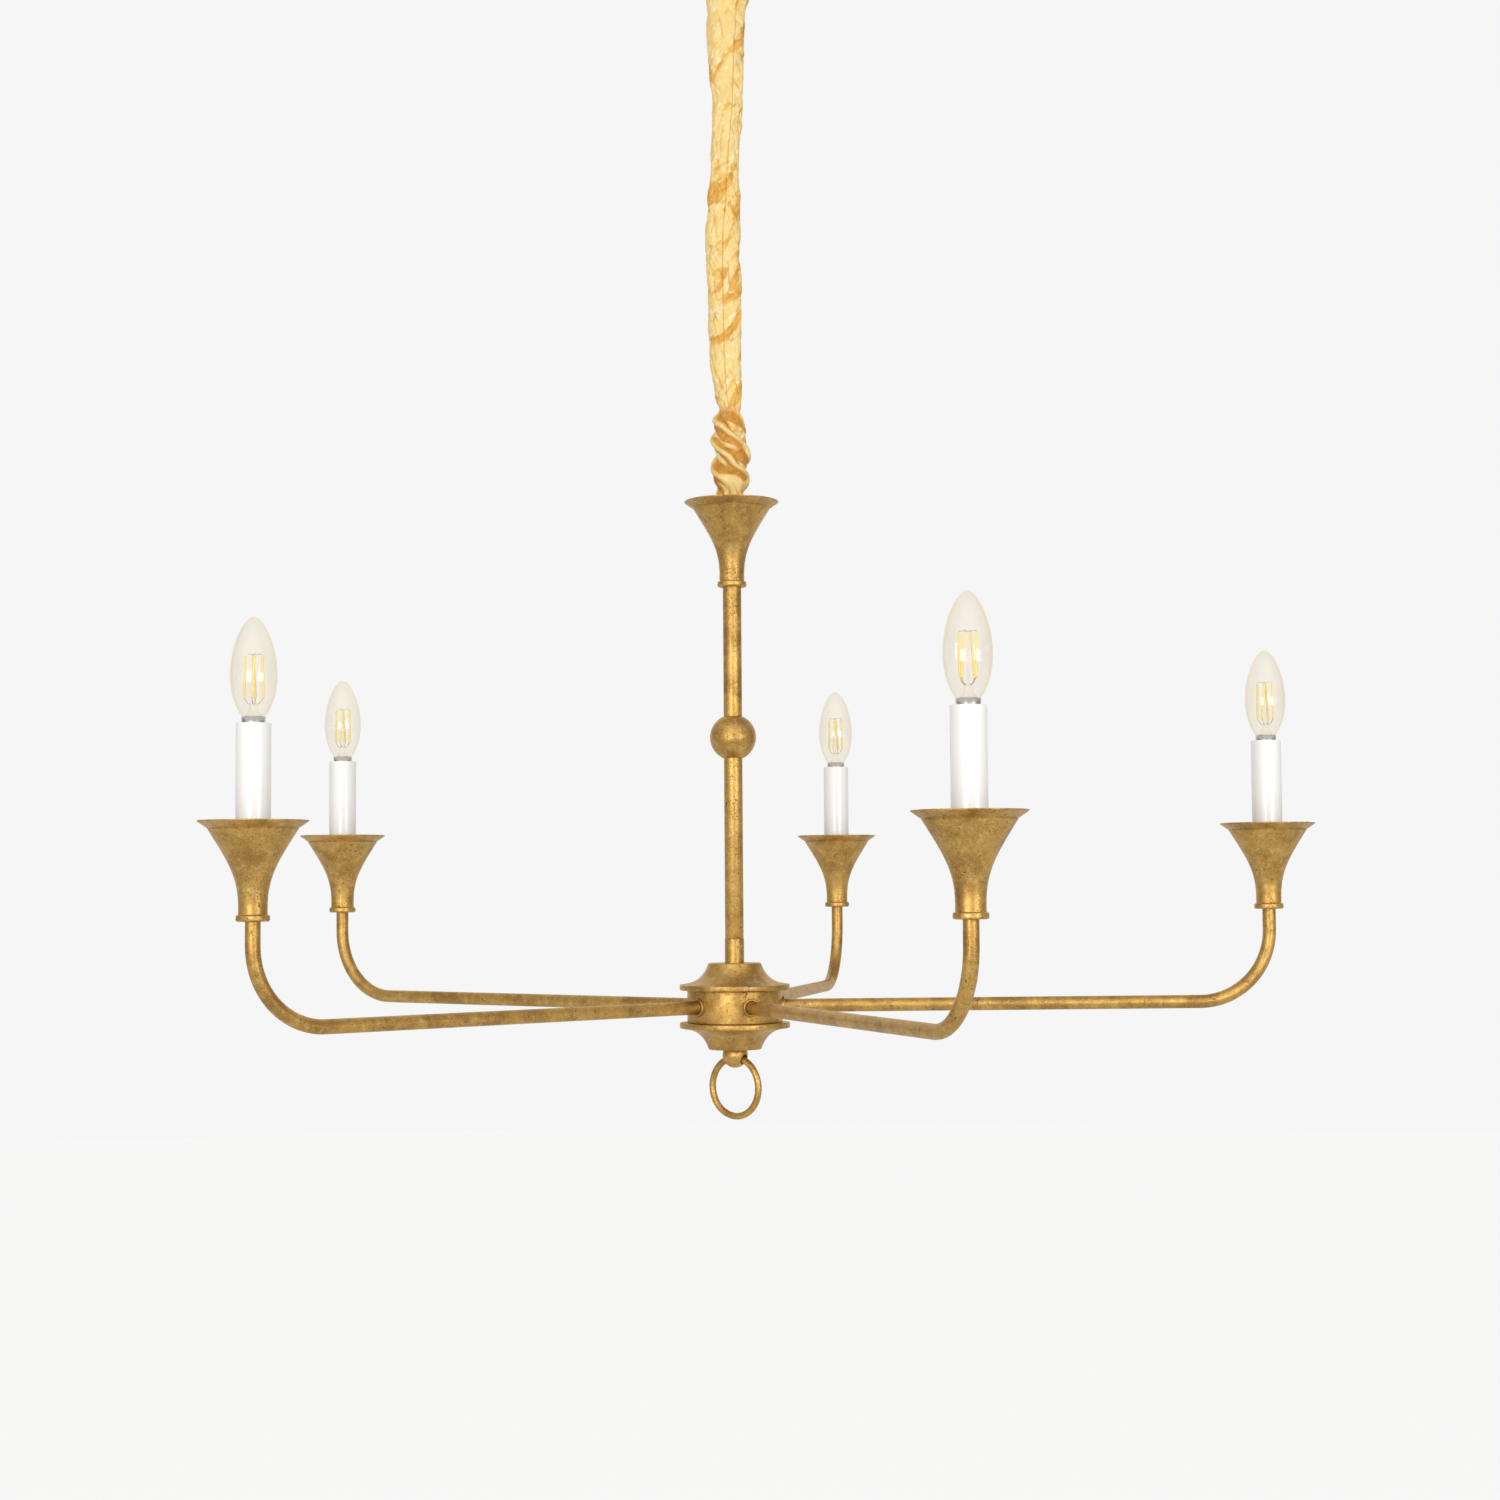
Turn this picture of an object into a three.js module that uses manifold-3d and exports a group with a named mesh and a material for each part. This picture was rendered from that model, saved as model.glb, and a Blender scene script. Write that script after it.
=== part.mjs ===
// A five-arm chandelier on a fabric-sleeved chain, in millimetres, +Z up.
// The origin is the middle of the ceiling bracket's top face; everything hangs below it.
import * as THREE from 'three';
import { mergeVertices } from 'three/addons/utils/BufferGeometryUtils.js';
import Module from 'manifold-3d';

const wasm = await Module();
wasm.setup();

// ---- driving dimensions ----
const GAP = 0.3;                       // clearance between touching pieces
const ARM_COUNT = 5;
const ARM_PLANE_DROP = 950;            // ceiling face down to the arms' centre lines
const CUP_CIRCLE = 467;                // radius of the circle of candle axes
const FIRST_ARM_AZIMUTH = -69.2;       // degrees from +X
const ARM_TRIM = [-0.5, -0.7, 1.8, -2, 1.6]; // degrees each arm sits off an even fifth

const ARM_RADIUS = 5.75;
const ARM_BORE = 4.3;
const ARM_BEND = 62;
const ARM_INNER_END = 31;
const ARM_TOP = 105.7;                 // above the arm plane, inside the cup
const NUT_CORNER_RADIUS = 9.6;
const NUT_START = 32.6;
const NUT_THICKNESS = 4;

const CUP_RIM_RADIUS = 41;
const CUP_HEIGHT = 75;
const CUP_RIM_HEIGHT = 155;            // above the arm plane
const CUP_WALL = 0.9;
const TOP_CUP_RIM_HEIGHT = 438;

const SLEEVE_RADIUS = 13;              // white candle sleeve
const SLEEVE_BORE = 11.8;
const SLEEVE_FOOT = 120.8;
const SLEEVE_TOP = 227;
const HOLDER_RADIUS = 11;
const HOLDER_TOP = 222;
const SOCKET_BORE = 7.6;
const SOCKET_FLOOR = 198;

const THREAD_RADIUS = 6.8;             // of the bulb's screw cap
const SKIRT_RADIUS = 9;
const SKIRT_FOOT = 224.4;
const BULB_WAIST = 231.7;              // top of the metal cap
const BULB_GIRTH = 262;                // height of the widest girth
const BULB_TIP = 306.5;
const GLASS_RADIUS = 17.5;
const GLASS_WALL = 0.8;

const ROD_CIRCLE = 7;                  // the four light-emitting rods
const ROD_WIDTH = 1.4;
const ROD_FOOT = 246;
const ROD_TOP = 279;
const FRAME_THICKNESS = 1;

const STEM_RADIUS = 8;
const STEM_BORE = 6.4;
const STEM_FOOT_RADIUS = 8.35;
const STEM_FOOT_HEIGHT = 21;
const STEM_BALL_HEIGHT = 232;
const STEM_BALL_RADIUS = 20;
const STEM_FOOT = 30;                  // inside the top cap
const UPPER_STEM_TOP = 376;

const DRUM_RADIUS = 41;
const DRUM_BORE = 38.5;
const DRUM_HALF_HEIGHT = 13.7;
const BOSS_RADIUS = 7.9;
const BOSS_REACH = 43.2;
const CAP_INNER = 14;                  // arm plane to the cap's flange
const CAP_HEIGHT = 23;
const FLANGE_RADIUS = 47.5;

const FINIAL_RADIUS = 11;
const FINIAL_HEIGHT = -42;
const FINIAL_STUD = 4;
const FINIAL_STUD_TOP = -28;
const FINIAL_HOLE = 4.4;               // corner radius of the ring's cross hole
const FINIAL_HOLE_HEIGHT = -45.5;
const RING_RADIUS = 25;
const RING_SEAT = 1;                   // the wire's height in the cross hole
const RING_WIRE = 2.9;
const RING_AZIMUTH = -38;              // degrees from +X of the ring's plane
const TIE_ROD_RADIUS = 6;
const TIE_ROD_BORE = 4.4;

const HOOK_RING = 8;                   // centre line of the hook and the hang loop
const HOOK_WIRE = 2.2;
const HOOK_RING_DROP = 62;
const HANG_LOOP_HEIGHT = 422;
const SHANK_RADIUS = 5;
const LINK_WIRE = 1.5;
const LINK_HALF_WIDTH = 5.5;
const LINK_COUNT = 16;
const LINK_PRESS = 0.4;                // how far the chain's links bed into each other

const ROSE_RADIUS = 60;
const ROSE_HEIGHT = 45;
const ROSE_WALL = 1.5;
const BRACKET = [100, 24, 3];
const BOSS_DEPTH = 12;

const VELVET_TOP = -56;                // below the ceiling
const VELVET_FOOT = 418;               // above the arm plane, inside the top cup

// ---- materials ----
function finish(color, roughness, metalness) {
  return new THREE.MeshStandardMaterial({ color, roughness, metalness });
}
const gold = () => finish(0xb8924e, 0.45, 0.9);
const brass = () => finish(0xc9a45a, 0.35, 1);
const steel = () => finish(0x9a9a96, 0.4, 1);
const nickel = () => finish(0xc9c7c0, 0.25, 1);
const white = () => finish(0xf4f3ee, 0.3, 0);

// ---- solids ----
function closed(geometry) {
  // Shared corners merged, zero-area faces dropped, faces turned outward.
  geometry.deleteAttribute('normal');
  geometry.deleteAttribute('uv');
  const merged = mergeVertices(geometry, 1e-4);
  const corner = merged.getAttribute('position');
  const faces = [];
  const [a, b, c] = [new THREE.Vector3(), new THREE.Vector3(), new THREE.Vector3()];
  let volume = 0;
  for (let i = 0; i < merged.index.count; i += 3) {
    const face = [0, 1, 2].map((k) => merged.index.getX(i + k));
    if (new Set(face).size < 3) continue;
    faces.push(face);
    [a, b, c].forEach((vertex, k) => vertex.fromBufferAttribute(corner, face[k]));
    volume += a.dot(b.cross(c));
  }
  merged.setIndex(faces.flatMap((face) => (volume < 0 ? face.reverse() : face)));
  return merged;
}

function toManifold(geometry) {
  const body = closed(geometry);
  const vertProperties = body.getAttribute('position').array;
  const triVerts = new Uint32Array(body.index.array);
  return new wasm.Manifold(new wasm.Mesh({ numProp: 3, vertProperties, triVerts }));
}

function fromManifold(manifold) {
  const mesh = manifold.getMesh();
  const geometry = new THREE.BufferGeometry();
  geometry.setAttribute('position', new THREE.BufferAttribute(mesh.vertProperties, 3));
  geometry.setIndex(new THREE.BufferAttribute(mesh.triVerts, 1));
  return geometry;
}

const joined = (...geometries) => fromManifold(
  geometries.map(toManifold).reduce((all, next) => all.add(next)),
);
const cut = (geometry, ...tools) => fromManifold(
  tools.map(toManifold).reduce((left, tool) => left.subtract(tool), toManifold(geometry)),
);

// A body of revolution about Z from [radius, height] points.
function turned(points, segments = 20) {
  const profile = points.map(([radius, height]) => new THREE.Vector2(radius, height));
  return closed(new THREE.LatheGeometry(profile, segments).rotateX(Math.PI / 2));
}

const tube = (outer, bore, foot, top, segments) => turned(
  [[bore, foot], [outer, foot], [outer, top], [bore, top], [bore, foot]],
  segments,
);
const rod = (radius, foot, top, segments) => turned(
  [[0, foot], [radius, foot], [radius, top], [0, top]],
  segments,
);

function named(name, geometry, material) {
  const mesh = new THREE.Mesh(geometry, material);
  mesh.name = name;
  return mesh;
}

// ---- arms ----
// Straight out of the hub, a quarter bend, and straight up into the cup. The curve's
// parameter counts steps, so the straight runs take one step each.
const BEND_STEPS = 8;
class ArmLine extends THREE.Curve {
  getPoint(t, target = new THREE.Vector3()) {
    const step = t * (BEND_STEPS + 2);
    const bendStart = CUP_CIRCLE - ARM_BEND;
    if (step < 1) return target.set(THREE.MathUtils.lerp(ARM_INNER_END, bendStart, step), 0, 0);
    if (step > BEND_STEPS + 1) {
      return target.set(CUP_CIRCLE, 0, THREE.MathUtils.lerp(ARM_BEND, ARM_TOP, step - BEND_STEPS - 1));
    }
    const angle = ((step - 1) / BEND_STEPS) * (Math.PI / 2);
    return target.set(bendStart + ARM_BEND * Math.sin(angle), 0, ARM_BEND * (1 - Math.cos(angle)));
  }

  getPointAt(t, target) {
    return this.getPoint(t, target);
  }

  getTangentAt(t, target) {
    return this.getTangent(t, target);
  }
}

function round(radius, sides) {
  const corners = Array.from({ length: sides }, (_, i) => {
    const angle = (i / sides) * Math.PI * 2;
    return new THREE.Vector2(radius * Math.cos(angle), radius * Math.sin(angle));
  });
  return corners;
}

function armTube() {
  const section = new THREE.Shape(round(ARM_RADIUS, 10));
  section.holes.push(new THREE.Path(round(ARM_BORE, 5)));
  return closed(new THREE.ExtrudeGeometry(section, { steps: BEND_STEPS + 2, extrudePath: new ArmLine() }));
}

function armNut() {
  const across = new THREE.CylinderGeometry(NUT_CORNER_RADIUS, NUT_CORNER_RADIUS, NUT_THICKNESS, 6);
  const bore = new THREE.CylinderGeometry(ARM_RADIUS + GAP, ARM_RADIUS + GAP, NUT_THICKNESS * 2, 12);
  const nut = cut(across, bore).rotateZ(Math.PI / 2);
  return nut.translate(NUT_START + NUT_THICKNESS / 2, 0, 0);
}

// ---- cups ----
// A spun trumpet: a plain conical lip, a flared bell and a beaded collar. The collar is
// bored for the tube that carries it.
function trumpetCup(rimHeight, bore) {
  const bell = new THREE.CubicBezierCurve(
    new THREE.Vector2(33.3, -6.2),
    new THREE.Vector2(18.4, -30.2),
    new THREE.Vector2(10.8, -42),
    new THREE.Vector2(10.8, -64),
  ).getPoints(4).map((point) => [point.x, point.y]);
  const outside = [[CUP_RIM_RADIUS, 0], [CUP_RIM_RADIUS, -0.6], ...bell, [10.8, -69.8]];
  const collar = [[12.3, -70.4], [12.6, -72.5], [12.3, -CUP_HEIGHT], [bore, -CUP_HEIGHT], [bore, -70]];
  const inside = [[10.8 - CUP_WALL, -69], ...bell.map(([r, z]) => [r - CUP_WALL, z + CUP_WALL]).reverse()];
  const profile = [...outside, ...collar, ...inside, [CUP_RIM_RADIUS - 1.2, 0], outside[0]];
  return turned(profile.map(([r, z]) => [r, z + rimHeight]), 12);
}

// ---- lampholders, candle sleeves and bulbs ----
function lampholder() {
  const seat = SLEEVE_FOOT - GAP;
  return turned([
    [0, ARM_TOP + GAP], [8, ARM_TOP + GAP], [SLEEVE_RADIUS, seat - 3.5],
    [SLEEVE_RADIUS, seat], [HOLDER_RADIUS, seat],
    [HOLDER_RADIUS, HOLDER_TOP], [SOCKET_BORE, HOLDER_TOP],
    [SOCKET_BORE, SOCKET_FLOOR], [0, SOCKET_FLOOR],
  ], 10);
}

function bulbCap() {
  return turned([
    [0, SOCKET_FLOOR + GAP], [3, SOCKET_FLOOR + GAP], [THREAD_RADIUS, SOCKET_FLOOR + 3.5],
    [THREAD_RADIUS, HOLDER_TOP + GAP], [SKIRT_RADIUS, SKIRT_FOOT],
    [SKIRT_RADIUS, BULB_WAIST], [0, BULB_WAIST],
  ], 10);
}

// The candle glass: a neck, the widest girth two fifths of the way up and a blunt tip.
function glassOutline(inset) {
  const neck = new THREE.CubicBezierCurve(
    new THREE.Vector2(SKIRT_RADIUS, BULB_WAIST + GAP),
    new THREE.Vector2(13.6, BULB_WAIST + 6.8),
    new THREE.Vector2(GLASS_RADIUS, BULB_GIRTH - 12),
    new THREE.Vector2(GLASS_RADIUS, BULB_GIRTH),
  );
  const crown = new THREE.CubicBezierCurve(
    new THREE.Vector2(GLASS_RADIUS, BULB_GIRTH),
    new THREE.Vector2(GLASS_RADIUS, BULB_GIRTH + 24),
    new THREE.Vector2(6.8, BULB_TIP),
    new THREE.Vector2(0, BULB_TIP),
  );
  const points = [...neck.getPoints(2), ...crown.getPoints(5).slice(1)];
  const tip = points.pop();
  const wall = points.map((point, i) => [point.x - inset, point.y + (i === 0 ? 0 : inset * 0.3)]);
  return [...wall, [0, tip.y - inset * 1.2]];
}

function bulbGlass() {
  const outside = glassOutline(0).reverse();
  const inside = glassOutline(GLASS_WALL);
  return turned([...outside, ...inside], 10);
}

// A glass mount with four light-emitting rods between a lower and an upper wire frame.
function bulbFilaments() {
  const foot = BULB_WAIST + GAP + 0.2;
  const mount = turned([
    [0, foot], [6.2, foot], [2.9, foot + 6], [0.9, ROD_FOOT - 3], [0.9, ROD_TOP], [0, ROD_TOP],
  ], 6);
  const frames = [ROD_FOOT, ROD_TOP - FRAME_THICKNESS].map(
    (height) => rod(ROD_CIRCLE + 0.4, height, height + FRAME_THICKNESS, 4),
  );
  const rods = Array.from({ length: 4 }, (_, i) => {
    const upright = new THREE.BoxGeometry(ROD_WIDTH, ROD_WIDTH, ROD_TOP - ROD_FOOT);
    return upright.translate(ROD_CIRCLE, 0, (ROD_FOOT + ROD_TOP) / 2).rotateZ(i * (Math.PI / 2));
  });
  return joined(mount, ...frames, ...rods).rotateZ(Math.PI / 4);
}

function arm(index) {
  const number = index + 1;
  const group = new THREE.Group();
  const azimuth = FIRST_ARM_AZIMUTH + (360 / ARM_COUNT) * index + ARM_TRIM[index];
  group.rotation.z = THREE.MathUtils.degToRad(azimuth);
  const candle = new THREE.Group();
  candle.position.x = CUP_CIRCLE;
  candle.add(
    named(`cup_${number}`, trumpetCup(CUP_RIM_HEIGHT, ARM_RADIUS + GAP), gold()),
    named(`lampholder_${number}`, lampholder(), white()),
    named(`candle_sleeve_${number}`, tube(SLEEVE_RADIUS, SLEEVE_BORE, SLEEVE_FOOT, SLEEVE_TOP, 14), white()),
    named(`bulb_cap_${number}`, bulbCap(), nickel()),
    named(`bulb_glass_${number}`, bulbGlass(), finish(0xf4ecdc, 0.05, 0)),
    named(`bulb_filaments_${number}`, bulbFilaments(), finish(0xf7e06a, 0.5, 0)),
  );
  group.add(named(`arm_${number}`, armTube(), gold()));
  group.add(named(`arm_nut_${number}`, armNut(), steel()));
  group.add(candle);
  return group;
}

// ---- hub ----
function hubDrum() {
  const wall = tube(DRUM_RADIUS, DRUM_BORE, -DRUM_HALF_HEIGHT, DRUM_HALF_HEIGHT, 24);
  const bosses = [];
  const holes = [];
  for (let index = 0; index < ARM_COUNT; index += 1) {
    const azimuth = FIRST_ARM_AZIMUTH + (360 / ARM_COUNT) * index + ARM_TRIM[index];
    const turn = THREE.MathUtils.degToRad(azimuth);
    bosses.push(rod(BOSS_RADIUS, 39, BOSS_REACH, 12).rotateY(Math.PI / 2).rotateZ(turn));
    holes.push(rod(ARM_RADIUS + GAP, 30, 50, 12).rotateY(Math.PI / 2).rotateZ(turn));
  }
  return cut(joined(wall, ...bosses), ...holes);
}

// A hub cap's outline from its flange up; the bottom cap is the same one turned over.
function hubCap(bore) {
  const hollow = new THREE.QuadraticBezierCurve(
    new THREE.Vector2(43, 5.3),
    new THREE.Vector2(27.2, 7.4),
    new THREE.Vector2(23.6, 20.5),
  ).getPoints(4).map((point) => [point.x, point.y]);
  const edge = FLANGE_RADIUS - 0.7;
  const flange = [[edge, 0], [FLANGE_RADIUS, 0.9], [FLANGE_RADIUS, 3.8], [edge, 4.7]];
  const outside = [...flange, ...hollow, [22.5, CAP_HEIGHT]];
  const under = CAP_HEIGHT - 2;
  const inside = [[bore, CAP_HEIGHT], [bore, under], [20.5, under], [24, 10], [38, 3], [38, 0]];
  return turned([...outside, ...inside, outside[0]].map(([r, z]) => [r, z + CAP_INNER]), 16);
}

function finial() {
  const flat = CAP_INNER + CAP_HEIGHT + GAP;
  const reach = Math.acos((-flat - FINIAL_HEIGHT) / FINIAL_RADIUS);
  const ball = Array.from({ length: 7 }, (_, i) => {
    const angle = Math.PI - (i / 6) * (Math.PI - reach);
    return [FINIAL_RADIUS * Math.sin(angle), FINIAL_HEIGHT + FINIAL_RADIUS * Math.cos(angle)];
  });
  ball[0][0] = 0;
  const stud = [[FINIAL_STUD, -flat], [FINIAL_STUD, FINIAL_STUD_TOP], [0, FINIAL_STUD_TOP]];
  const body = turned([...ball, ...stud], 14);
  const hole = rod(FINIAL_HOLE, -FINIAL_RADIUS - 1, FINIAL_RADIUS + 1, 12);
  hole.rotateY(Math.PI / 2).rotateZ(THREE.MathUtils.degToRad(RING_AZIMUTH));
  hole.translate(0, 0, FINIAL_HOLE_HEIGHT);
  return cut(body, hole);
}

function ring() {
  const wire = new THREE.TorusGeometry(RING_RADIUS, RING_WIRE, 6, 28).rotateX(Math.PI / 2);
  wire.rotateZ(THREE.MathUtils.degToRad(RING_AZIMUTH));
  return closed(wire.translate(0, 0, FINIAL_HOLE_HEIGHT + RING_SEAT - RING_RADIUS));
}

function stemBall() {
  const bore = STEM_RADIUS + GAP;
  const polar = Math.asin(bore / STEM_BALL_RADIUS);
  const ball = Array.from({ length: 9 }, (_, i) => {
    const angle = Math.PI - polar - (i / 8) * (Math.PI - 2 * polar);
    return [STEM_BALL_RADIUS * Math.sin(angle), STEM_BALL_HEIGHT + STEM_BALL_RADIUS * Math.cos(angle)];
  });
  return turned([...ball, ball[0]], 20);
}

function lowerStem() {
  const step = CAP_INNER + CAP_HEIGHT + STEM_FOOT_HEIGHT;
  const top = STEM_BALL_HEIGHT - GAP;
  return turned([
    [STEM_BORE, STEM_FOOT], [STEM_FOOT_RADIUS, STEM_FOOT], [STEM_FOOT_RADIUS, step],
    [STEM_RADIUS, step + 0.4], [STEM_RADIUS, top], [STEM_BORE, top], [STEM_BORE, STEM_FOOT],
  ], 16);
}

// ---- suspension ----
// A round wire eye on a shank; `shankFrom` and `shankTo` are heights about the eye's centre.
function eye(shankFrom, shankTo) {
  const loop = new THREE.TorusGeometry(HOOK_RING, HOOK_WIRE, 6, 12).rotateX(Math.PI / 2);
  return joined(loop, rod(SHANK_RADIUS, shankFrom, shankTo, 12));
}

const topLinkTop = -(HOOK_RING_DROP + HOOK_RING) + HOOK_WIRE + LINK_WIRE + GAP;
const chainFoot = HANG_LOOP_HEIGHT - ARM_PLANE_DROP + HOOK_RING - HOOK_WIRE - LINK_WIRE - GAP;
const linkLap = 2 * LINK_WIRE - LINK_PRESS;
// The top link hangs GAP clear of the fused chain; all the links are alike.
const LINK_PITCH = (topLinkTop - chainFoot - linkLap + LINK_PRESS + GAP) / (LINK_COUNT + 1);

// A link is a small wire ring drawn out along Z by moving its halves apart.
function link(crosswise) {
  const segments = 8;
  const wire = new THREE.TorusGeometry(LINK_HALF_WIDTH, LINK_WIRE, 6, segments);
  wire.rotateZ(Math.PI / segments).rotateX(Math.PI / 2);
  const crown = LINK_HALF_WIDTH * Math.cos(Math.PI / segments);
  const spread = (LINK_PITCH + linkLap) / 2 - crown;
  const corner = wire.getAttribute('position');
  for (let i = 0; i < corner.count; i += 1) {
    corner.setZ(i, corner.getZ(i) + Math.sign(corner.getZ(i)) * spread);
  }
  return crosswise ? wire.rotateZ(Math.PI / 2) : wire;
}

function chain() {
  const firstTop = topLinkTop - LINK_PITCH + LINK_PRESS + GAP;
  const links = Array.from({ length: LINK_COUNT }, (_, i) => {
    const middle = firstTop - (LINK_PITCH + linkLap) / 2 - i * LINK_PITCH;
    return link(i % 2 === 1).translate(0, 0, middle);
  });
  return joined(...links);
}

// The velvet sleeve: a flattened tube, wider at the ceiling and round where it is
// gathered into the top cup. Each station is [height, half width, half depth].
const VELVET_WALL = 1.2;
const VELVET_STATIONS = [
  [VELVET_TOP, 18, 13], [-80, 18, 12], [-120, 17, 11], [-400, 16.5, 11],
  [-432, 12.5, 11.5], [-455, 13.5, 12.5], [-505, 13, 12.5], [VELVET_FOOT - ARM_PLANE_DROP, 13.5, 13.5],
];
function velvetSleeve() {
  const rows = VELVET_STATIONS.map(([height]) => height);
  const outer = rows.map((height) => [1, height]);
  const inner = rows.map((height) => [0.9, height]).reverse();
  const sleeve = turned([...outer, ...inner, outer[0]], 16);
  const corner = sleeve.getAttribute('position');
  for (let i = 0; i < corner.count; i += 1) {
    const [, width, depth] = VELVET_STATIONS.find(([height]) => Math.abs(height - corner.getZ(i)) < 0.01);
    const reach = Math.hypot(corner.getX(i), corner.getY(i));
    const inset = reach < 0.95 ? VELVET_WALL : 0;
    corner.setX(i, (corner.getX(i) / reach) * (width - inset));
    corner.setY(i, (corner.getY(i) / reach) * (depth - inset));
  }
  return sleeve;
}

function ceilingBracket() {
  const [length, width, thickness] = BRACKET;
  const bar = new THREE.BoxGeometry(length, width, thickness).translate(0, 0, -thickness / 2);
  const boss = rod(9, -BOSS_DEPTH, -thickness / 2, 16);
  const seat = rod(SHANK_RADIUS + GAP, -BOSS_DEPTH - 1, -thickness - GAP, 16);
  const screwHoles = [-38, 38].map((x) => rod(2.5, -10, 5, 10).translate(x, 0, 0));
  return cut(joined(bar, boss), seat, ...screwHoles);
}

// A shallow spun dish with a short neck.
function ceilingRose() {
  const outline = new THREE.CubicBezierCurve(
    new THREE.Vector2(ROSE_RADIUS - 3, -6),
    new THREE.Vector2(44, -10),
    new THREE.Vector2(21, -18),
    new THREE.Vector2(17, -ROSE_HEIGHT + 5),
  ).getPoints(4).map((point) => [point.x, point.y]);
  const bore = SHANK_RADIUS + GAP;
  const edge = [[ROSE_RADIUS, -1], [ROSE_RADIUS, -4.5]];
  const outside = [...edge, ...outline, [17, -ROSE_HEIGHT], [bore, -ROSE_HEIGHT]];
  const inside = outline.map(([r, z]) => [r - ROSE_WALL, z + 1]).reverse();
  const profile = [...outside, [bore, -ROSE_HEIGHT + 2], [15.5, -ROSE_HEIGHT + 2], ...inside];
  return turned([...profile, [ROSE_RADIUS - ROSE_WALL, -3.5], [ROSE_RADIUS - ROSE_WALL, -1], outside[0]], 16);
}

function roseCollar() {
  const top = -ROSE_HEIGHT - GAP;
  const bore = SHANK_RADIUS + GAP;
  const foot = top - 7;
  return turned([[bore, foot], [8.5, foot], [10, foot + 2], [10, top], [bore, top], [bore, foot]], 16);
}

const hookShankTop = -BRACKET[2] - 2 * GAP + HOOK_RING_DROP;
const ceilingHook = () => eye(HOOK_RING, hookShankTop).translate(0, 0, -HOOK_RING_DROP);
const hangLoop = () => eye(360 - HANG_LOOP_HEIGHT, -HOOK_RING).translate(0, 0, HANG_LOOP_HEIGHT);

// ---- assembly ----
const chandelier = new THREE.Group();
chandelier.add(
  named('ceiling_bracket', ceilingBracket(), steel()),
  named('ceiling_terminal_block', new THREE.BoxGeometry(14, 20, 11).translate(22, 0, -9), white()),
  named('ceiling_rose', ceilingRose(), gold()),
  named('rose_collar', roseCollar(), gold()),
  named('ceiling_hook', ceilingHook(), gold()),
  named('top_link', link(true).translate(0, 0, topLinkTop - (LINK_PITCH + linkLap) / 2), brass()),
  named('chain', chain(), brass()),
  named('velvet_sleeve', velvetSleeve(), finish(0xf2ce80, 0.6, 0)),
);

const fixture = new THREE.Group();
fixture.position.z = -ARM_PLANE_DROP;
fixture.add(
  named('hang_loop', hangLoop(), gold()),
  named('top_cup', trumpetCup(TOP_CUP_RIM_HEIGHT, STEM_RADIUS + GAP), gold()),
  named('upper_stem', tube(STEM_RADIUS, STEM_BORE, STEM_BALL_HEIGHT + GAP, UPPER_STEM_TOP, 16), gold()),
  named('stem_ball', stemBall(), gold()),
  named('lower_stem', lowerStem(), gold()),
  named('hub_top_cap', hubCap(STEM_FOOT_RADIUS + GAP), gold()),
  named('hub_drum', hubDrum(), gold()),
  named('hub_bottom_cap', hubCap(FINIAL_STUD + GAP).rotateX(Math.PI), gold()),
  named('hub_terminal_block', new THREE.BoxGeometry(10, 22, 14).translate(-17, 0, 0), white()),
  named('tie_rod', tube(TIE_ROD_RADIUS, TIE_ROD_BORE, -34.7, 60, 12), steel()),
  named('finial_ball', finial(), gold()),
  named('finial_ring', ring(), gold()),
);
for (let index = 0; index < ARM_COUNT; index += 1) fixture.add(arm(index));
chandelier.add(fixture);

export default chandelier;
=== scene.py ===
"""A five-arm chandelier with trumpet cups and candle bulbs, hung on a velvet-sleeved chain.

Shapes are in millimetres about their own axis and are placed from the frame, which is in metres.
"""
import math

import bmesh
import bpy
from bpy.props import FloatProperty, FloatVectorProperty, IntProperty, PointerProperty
from mathutils import Euler, Matrix, Vector, noise


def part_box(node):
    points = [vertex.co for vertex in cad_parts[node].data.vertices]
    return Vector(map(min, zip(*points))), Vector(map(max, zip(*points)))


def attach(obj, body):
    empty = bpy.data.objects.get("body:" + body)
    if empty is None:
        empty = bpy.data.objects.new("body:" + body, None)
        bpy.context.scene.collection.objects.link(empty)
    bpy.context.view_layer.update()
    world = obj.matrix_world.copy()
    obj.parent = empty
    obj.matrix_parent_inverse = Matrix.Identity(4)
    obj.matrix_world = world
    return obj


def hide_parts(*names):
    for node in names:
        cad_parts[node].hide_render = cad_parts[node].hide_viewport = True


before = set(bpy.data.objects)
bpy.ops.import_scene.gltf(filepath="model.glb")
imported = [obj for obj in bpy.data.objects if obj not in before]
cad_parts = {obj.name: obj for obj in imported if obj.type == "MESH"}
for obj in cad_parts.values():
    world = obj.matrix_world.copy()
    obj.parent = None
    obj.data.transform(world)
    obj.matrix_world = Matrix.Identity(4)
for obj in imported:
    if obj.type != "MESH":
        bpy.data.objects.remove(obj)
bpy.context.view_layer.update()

bl_info = {
    "name": "Five-Arm Chandelier",
    "version": (1, 0, 0),
    "blender": (4, 5, 0),
    "location": "3D View > Sidebar > Chandelier",
    "description": "Builds a candle chandelier around its measured frame",
    "category": "Add Mesh",
}

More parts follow.
